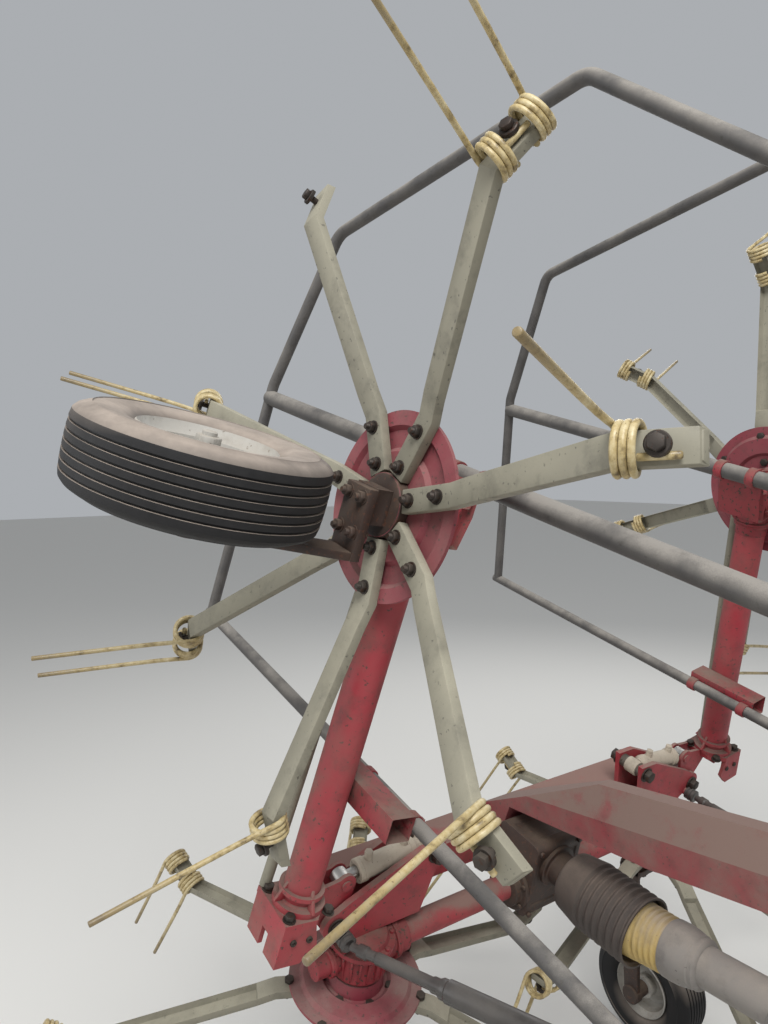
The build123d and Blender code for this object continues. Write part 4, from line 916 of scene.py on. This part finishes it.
ports = copies(fitting, [shift((0, 0, z)) @ LEFTWARD for z in (0.062, 0.156)])
cylinder = joined([barrel, eye, *ports], "cylinder")
scrapped(fitting)
paired(cylinder, "cylinder_barrel_", cylinder_frame, cylinder_enamel, "cream_paint", "fold_barrel_", "fold_barrel_")
print("cylinder eyes", round((rod_eye - cylinder_base).length * 1000, 1), "mm apart when folded")

# %% [markdown]
# ## Dampers
# A long friction damper runs from each front ear to the headstock and keeps the machine
# from swinging on the road. Its socket is wrapped by a rubber boot with three ribs, and
# its barrel is black tube with a rolled neck at each end.

# %% Damper barrels
STUD_X, STUD_Z = 0.616, -0.025  # the stud on the front ear that carries the damper
damper_back = row @ Vector((STUD_X, 0.048, STUD_Z))
damper_front = Vector((0.180, ROW_Y + 1.330, damper_back.z))
damper_along = (damper_front - damper_back).normalized()
damper_across = Vector((0, 0, 1)).cross(damper_along).normalized()
damper_frame = frame_of(damper_across, damper_along.cross(damper_across), damper_along, damper_back)
tube = smoothed(turned("tube", [
    (0, 0.006), (0.009, 0.008), (0.009, 0.026), (0.0135, 0.028), (0.0135, 0.048), (0.0105, 0.051), (0.0105, 0.072),
    (0.0125, 0.075), (0.0125, 0.205), (0.0150, 0.210), (0.0150, 0.222), (0.0195, 0.230), (0.0195, 0.240),
    (0.022, 0.244), (0.022, 0.606), (0.0205, 0.610), (0.022, 0.614), (0.022, 0.626), (0.020, 0.630), (0.0145, 0.630),
    (0.0135, 0.628), (0.0115, 0.628), (0.0115, 0.380), (0, 0.380)], 48), 30)
boot = smoothed(turned("boot", [
    (0.0086, 0.0182), (0.014, 0.0182), (0.0182, 0.021), (0.0182, 0.026), (0.0160, 0.0275), (0.0160, 0.030),
    (0.0190, 0.032), (0.0190, 0.037), (0.0165, 0.0385), (0.0165, 0.041), (0.0188, 0.0425), (0.0188, 0.047),
    (0.015, 0.050), (0, 0.050), (0, 0.0425), (0.0086, 0.0425)], 40, closed=True), 30)
lay(boot, row @ shift((STUD_X, 0, STUD_Z)) @ FORWARD)
damper = joined([lay(tube, damper_frame), boot], "damper_barrel_pair")
other = copied(damper, "other_damper", mirrored)
finished(joined([damper, other], "damper_barrel_pair"), damper_enamel, "black_paint", "frame", "damper_barrels")

# %% [markdown]
# ## Drive shaft guards
# Guards of soft plastic keep hands off the drive shaft: a large bell on the gearbox,
# charcoal and brown with dust, and inside its mouth a yellowed cone with five rings
# that runs into a rounded grey shell and a smooth tube. All are surfaces of revolution.

# %% Guard plastics
# Charcoal plastic gone brown, very matt
bell_plastic = dusty_paint("bell_plastic", "3c3634", "74675c", "221d1b", 0.55, 0.75, 0.7)
# Yellow plastic, sun-bleached and dirty
cone_plastic = dusty_paint("cone_plastic", "b59b58", "a89a86", "6f5f41", 0.5, 0.9, 0.7)
# Grey plastic of the shell and the tube
tube_plastic = dusty_paint("tube_plastic", "77736f", "9d9489", "4a4542", 0.42, 0.7, 0.7)

# %% The ribbed bell and its collar
BELL_R, BELL_LONG, BELL_START, BELL_DIP = 0.084, 0.212, 0.119, math.radians(8.7)
INPUT_Z = -0.035
bell_at = row @ Vector((0, BELL_START, INPUT_Z))
bell_frame = shift(bell_at) @ Matrix.Rotation(-math.pi / 2 - BELL_DIP, 4, "X")
outline = [(0.052, 0.0), (BELL_R - 0.017, 0.0), (BELL_R - 0.012, 0.004), (BELL_R - 0.010, 0.012),
           (BELL_R - 0.002, 0.056), (BELL_R, 0.066)]
grooves = [0.080 + 0.020 * k for k in range(7)]
for at in grooves:
    outline += [(BELL_R, at - 0.0080), (BELL_R - 0.0020, at - 0.0060), (BELL_R - 0.0058, at - 0.0020),
                (BELL_R - 0.0058, at + 0.0020), (BELL_R - 0.0020, at + 0.0060), (BELL_R, at + 0.0080)]
outline += [(BELL_R, BELL_LONG - 0.004), (BELL_R, BELL_LONG), (BELL_R - 0.005, BELL_LONG)]
for at in reversed(grooves):
    outline += [(BELL_R - 0.0055, at + 0.0065), (BELL_R - 0.0085, at + 0.0035), (BELL_R - 0.0085, at - 0.0035),
                (BELL_R - 0.0055, at - 0.0065)]
outline += [(BELL_R - 0.006, 0.066), (BELL_R - 0.016, 0.012), (BELL_R - 0.020, 0.005), (0.052, 0.005)]
bell = smoothed(turned("ribbed_bell", outline, 80, closed=True), 40)
collar = smoothed(turned("collar", [(0.0433, -0.001), (0.061, -0.001), (0.061, 0.006), (0.0433, 0.006)], 64,
                         closed=True), 30)
lay(collar, row @ shift((0, BELL_START - 0.001, INPUT_Z)) @ FORWARD)
bell = joined([lay(bell, bell_frame), collar], "ribbed_bell")

# %% The yellow cone, the shell and the tube in front of the first universal joint
knuckle = row @ Vector((0, 0.225, INPUT_Z))
CONE_R = 0.068
cone_start = knuckle.y + 0.062
shaft_end = ROW_Y + 1.560
level = shift((0, 0, knuckle.z)) @ FORWARD
rings = []
for k in range(5):
    at = cone_start + 0.053 + 0.0145 * k
    r = CONE_R - 0.007 * (at - cone_start) / 0.12
    rings += [(r, at - 0.0060), (r - 0.0008, at - 0.0050), (r - 0.0050, at - 0.0022), (r - 0.0050, at + 0.0022),
              (r - 0.0008, at + 0.0050)]
cone = [(0.063, cone_start), (0.0665, cone_start), (CONE_R, cone_start + 0.002)] + rings + [
    (0.0608, cone_start + 0.120), (0.0605, cone_start + 0.124), (0.0555, cone_start + 0.124),
    (0.0555, cone_start + 0.112), (0.0570, cone_start + 0.060), (0.0600, cone_start + 0.020)]
yellow = smoothed(turned("yellow_cone", cone, 72, closed=True), 40)
mouth = shaft_end - 0.200
shell = [(0.0555, cone_start + 0.116), (0.0612, cone_start + 0.116), (0.0622, cone_start + 0.119),
         (0.0625, cone_start + 0.140), (0.0612, cone_start + 0.155), (0.0585, cone_start + 0.168),
         (0.0560, cone_start + 0.176), (0.0560, cone_start + 0.181), (0.0535, cone_start + 0.184),
         (0.0535, cone_start + 0.193), (0.0500, cone_start + 0.197), (0.0432, cone_start + 0.199),
         (0.0425, cone_start + 0.205), (0.0425, shaft_end - 0.335), (0.0485, shaft_end - 0.333),
         (0.0485, shaft_end - 0.322), (0.054, shaft_end - 0.290), (0.0585, shaft_end - 0.230), (0.0585, mouth - 0.004),
         (0.060, mouth), (0.055, mouth), (0.0535, mouth - 0.030), (0.049, shaft_end - 0.288),
         (0.0225, shaft_end - 0.318), (0.0225, cone_start + 0.150), (0.052, cone_start + 0.130)]
grey = smoothed(turned("grey_tube", shell, 72, closed=True), 35)
finished(bell, bell_plastic, "guard_plastic", "frame", "shaft_guard")
finished(lay(yellow, level), cone_plastic, "guard_plastic", "frame", "shaft_guard")
finished(lay(grey, level), tube_plastic, "guard_plastic", "frame", "shaft_guard")
print("shaft guards", round(shaft_end - cone_start, 3), "m long with the bell", BELL_LONG)

# %% [markdown]
# ## Middle gearbox and pins
# The tractor's shaft drives one gearbox in the middle of the beam: a cast block with
# rounded edges, its front and top recessed, a bolted flange for each drive tube and a nose
# with the splined input. Nuts close the pins in the ears, and linch pins the hitch.

# %% Middle gearbox
casting = block((0, -0.006, -0.069), (0.160, 0.136, 0.206))
pick(casting, lambda e: abs(e.verts[0].co.x - e.verts[1].co.x) > 0.1, "EDGE")
bpy.ops.mesh.bevel(offset=0.018, segments=4, affect="EDGES")
pick(casting, lambda f: f.normal.y > 0.99 or f.normal.z > 0.99)
bpy.ops.mesh.inset(thickness=0.014, use_individual=True)
bpy.ops.mesh.inset(thickness=0.003, depth=-0.004, use_individual=True)
shaved(casting, 0.0015)
pad = block((0, -0.0795, -0.0575), (0.150, 0.0110, 0.035))
shaved(pad, 0.0015)
flange = smoothed(turned("flange", [(0, 0.070), (0.062, 0.070), (0.062, 0.0875), (0.0605, 0.089), (0.050, 0.0905),
                                    (0.048, 0.093), (0.048, 0.1095), (0.047, 0.110), (0, 0.110)], 48), 30)
nose = smoothed(turned("nose", [(0, 0.055), (0.056, 0.055), (0.056, 0.068), (0.054, 0.070), (0.045, 0.0715),
                                (0.043, 0.074), (0.043, 0.1285), (0.0415, 0.130), (0.0175, 0.130),
                                (0.0175, 0.1785), (0.016, 0.180), (0, 0.180)], 48), 30)
cover_bolt = hex_head("cover_bolt", 0.012, 0.006, (0, 0, 0.003))
heads = copies(cover_bolt, [shift((0, 0, 0.0885)) @ step @ shift((0.0555, 0, 0)) for step in ring_of(6)])
ring = joined([flange, *heads], "ring")
lying_out = shift((0, 0, DRIVE_Z)) @ RIGHTWARD
parts = [casting, pad, copied(ring, "left_ring", mirrored @ lying_out), lay(ring, lying_out),
         lay(nose, shift((0, 0, INPUT_Z)) @ FORWARD)]
parts += copies(cover_bolt, [shift((x, 0.062, z)) @ FORWARD for x in (-0.068, 0.068) for z in (-0.160, 0.020)])
finished(lay(joined(parts, "middle_gearbox"), row), leg_enamel, "black_paint", "frame", "centre_gearbox")
scrapped(cover_bolt)

# %% Near-black caps laid over the rotor hubs to darken each rotor's middle, pin nuts on the ears
cap = smoothed(turned("hub_cap", [(0.0258, -0.0252), (0.050, -0.0262), (0.0565, -0.0248), (0.0590, -0.0220),
                                  (0.0592, -0.0030), (0.0582, -0.0030), (0.0582, -0.0215), (0.0258, -0.0242)], 48,
                      closed=True), 30)
for rotor, frame_matrix in rotor_frames.items():
    finished(copied(cap, "hub_cap_" + rotor, frame_matrix), leg_enamel, "black_paint", "rotor_" + rotor)
scrapped(cap)
base_nut = bolt_end("base_nut", 0.010, 0.018)
EAR_FRONT, EAR_BACK = 0.0145, -0.0805  # outer faces of the two ears
nut_places = [shift((CYLINDER_X, EAR_FRONT, CYLINDER_Z)) @ FORWARD,
              shift((CYLINDER_X, EAR_BACK, CYLINDER_Z)) @ BACKWARD,
              shift((PIVOT_X, EAR_BACK, 0)) @ BACKWARD]
paired(joined(copies(base_nut, nut_places), "ends"), "pin_nuts_", row, bolt_steel, "steel", "frame")
scrapped(base_nut)

# %% Linch pins on the link pins
deselect()
bpy.ops.mesh.primitive_circle_add(vertices=12, radius=0.0022, location=(0, 0, 0))
loop = bpy.context.object
bpy.ops.object.mode_set(mode="EDIT")
bpy.ops.mesh.select_mode(type="VERT")
bpy.ops.mesh.select_all(action="SELECT")
bpy.ops.transform.translate(value=(0.019, 0, 0))
bpy.ops.transform.rotate(value=math.pi / 2, orient_axis="X", center_override=(0.019, 0, 0))
bpy.ops.mesh.spin(steps=28, angle=2 * math.pi, center=(0, 0, 0), axis=(0, 0, 1))
bpy.ops.mesh.select_all(action="SELECT")
bpy.ops.mesh.remove_doubles(threshold=0.00003)
bpy.ops.mesh.normals_make_consistent(inside=False)
smoothed(loop, 60)
stem = smoothed(turned("stem", [(0, -0.024), (0.003, -0.022), (0.004, -0.018), (0.004, 0.018), (0.0075, 0.019),
                                (0.0075, 0.026), (0.006, 0.028), (0, 0.028)], 20), 30)
lay(loop, shift((0, 0.003, 0.003)) @ Matrix.Rotation(math.radians(78), 4, "X"))
linch = joined([stem, loop], "linch")
LINCH_X, PIN_Z = 0.456, 0.620
pin_y = ROW_Y + 1.435
pair = copies(linch, [shift((x, pin_y, PIN_Z)) for x in (-LINCH_X, LINCH_X)])
finished(joined(pair, "linch_pins"), bare_steel, "steel", "headstock")
scrapped(linch)
print("link pins at", round(pin_y, 4), "ahead of the middle")

# %% [markdown]
# ## CAD pieces that keep their shape
# The welded frame, tubes, plates and pins are right as they come from the CAD, so they
# only get their finishes.

# %% Finishes for the CAD pieces that stay
kept = {"red_paint": crimson_enamel, "grey_paint": arm_enamel, "rim_paint": rim_enamel, "black_paint": guard_enamel,
        "spring_steel": spring_wire, "tyre": tyre_rubber, "steel": bare_steel, "cream_paint": cylinder_enamel,
        "chrome": rod_chrome, "guard_plastic": damper_enamel}
given = {part["node"]: part["material_slot"] for part in frame["record"]["subparts"]}
for name, node in frame["nodes"].items():
    finish = kept[given[name]]
    if name.endswith("_disc"):
        finish = chalky_enamel
    if name in ("boom", "headstock"):
        finish = boom_enamel
    node.data.materials.clear()
    node.data.materials.append(finish)
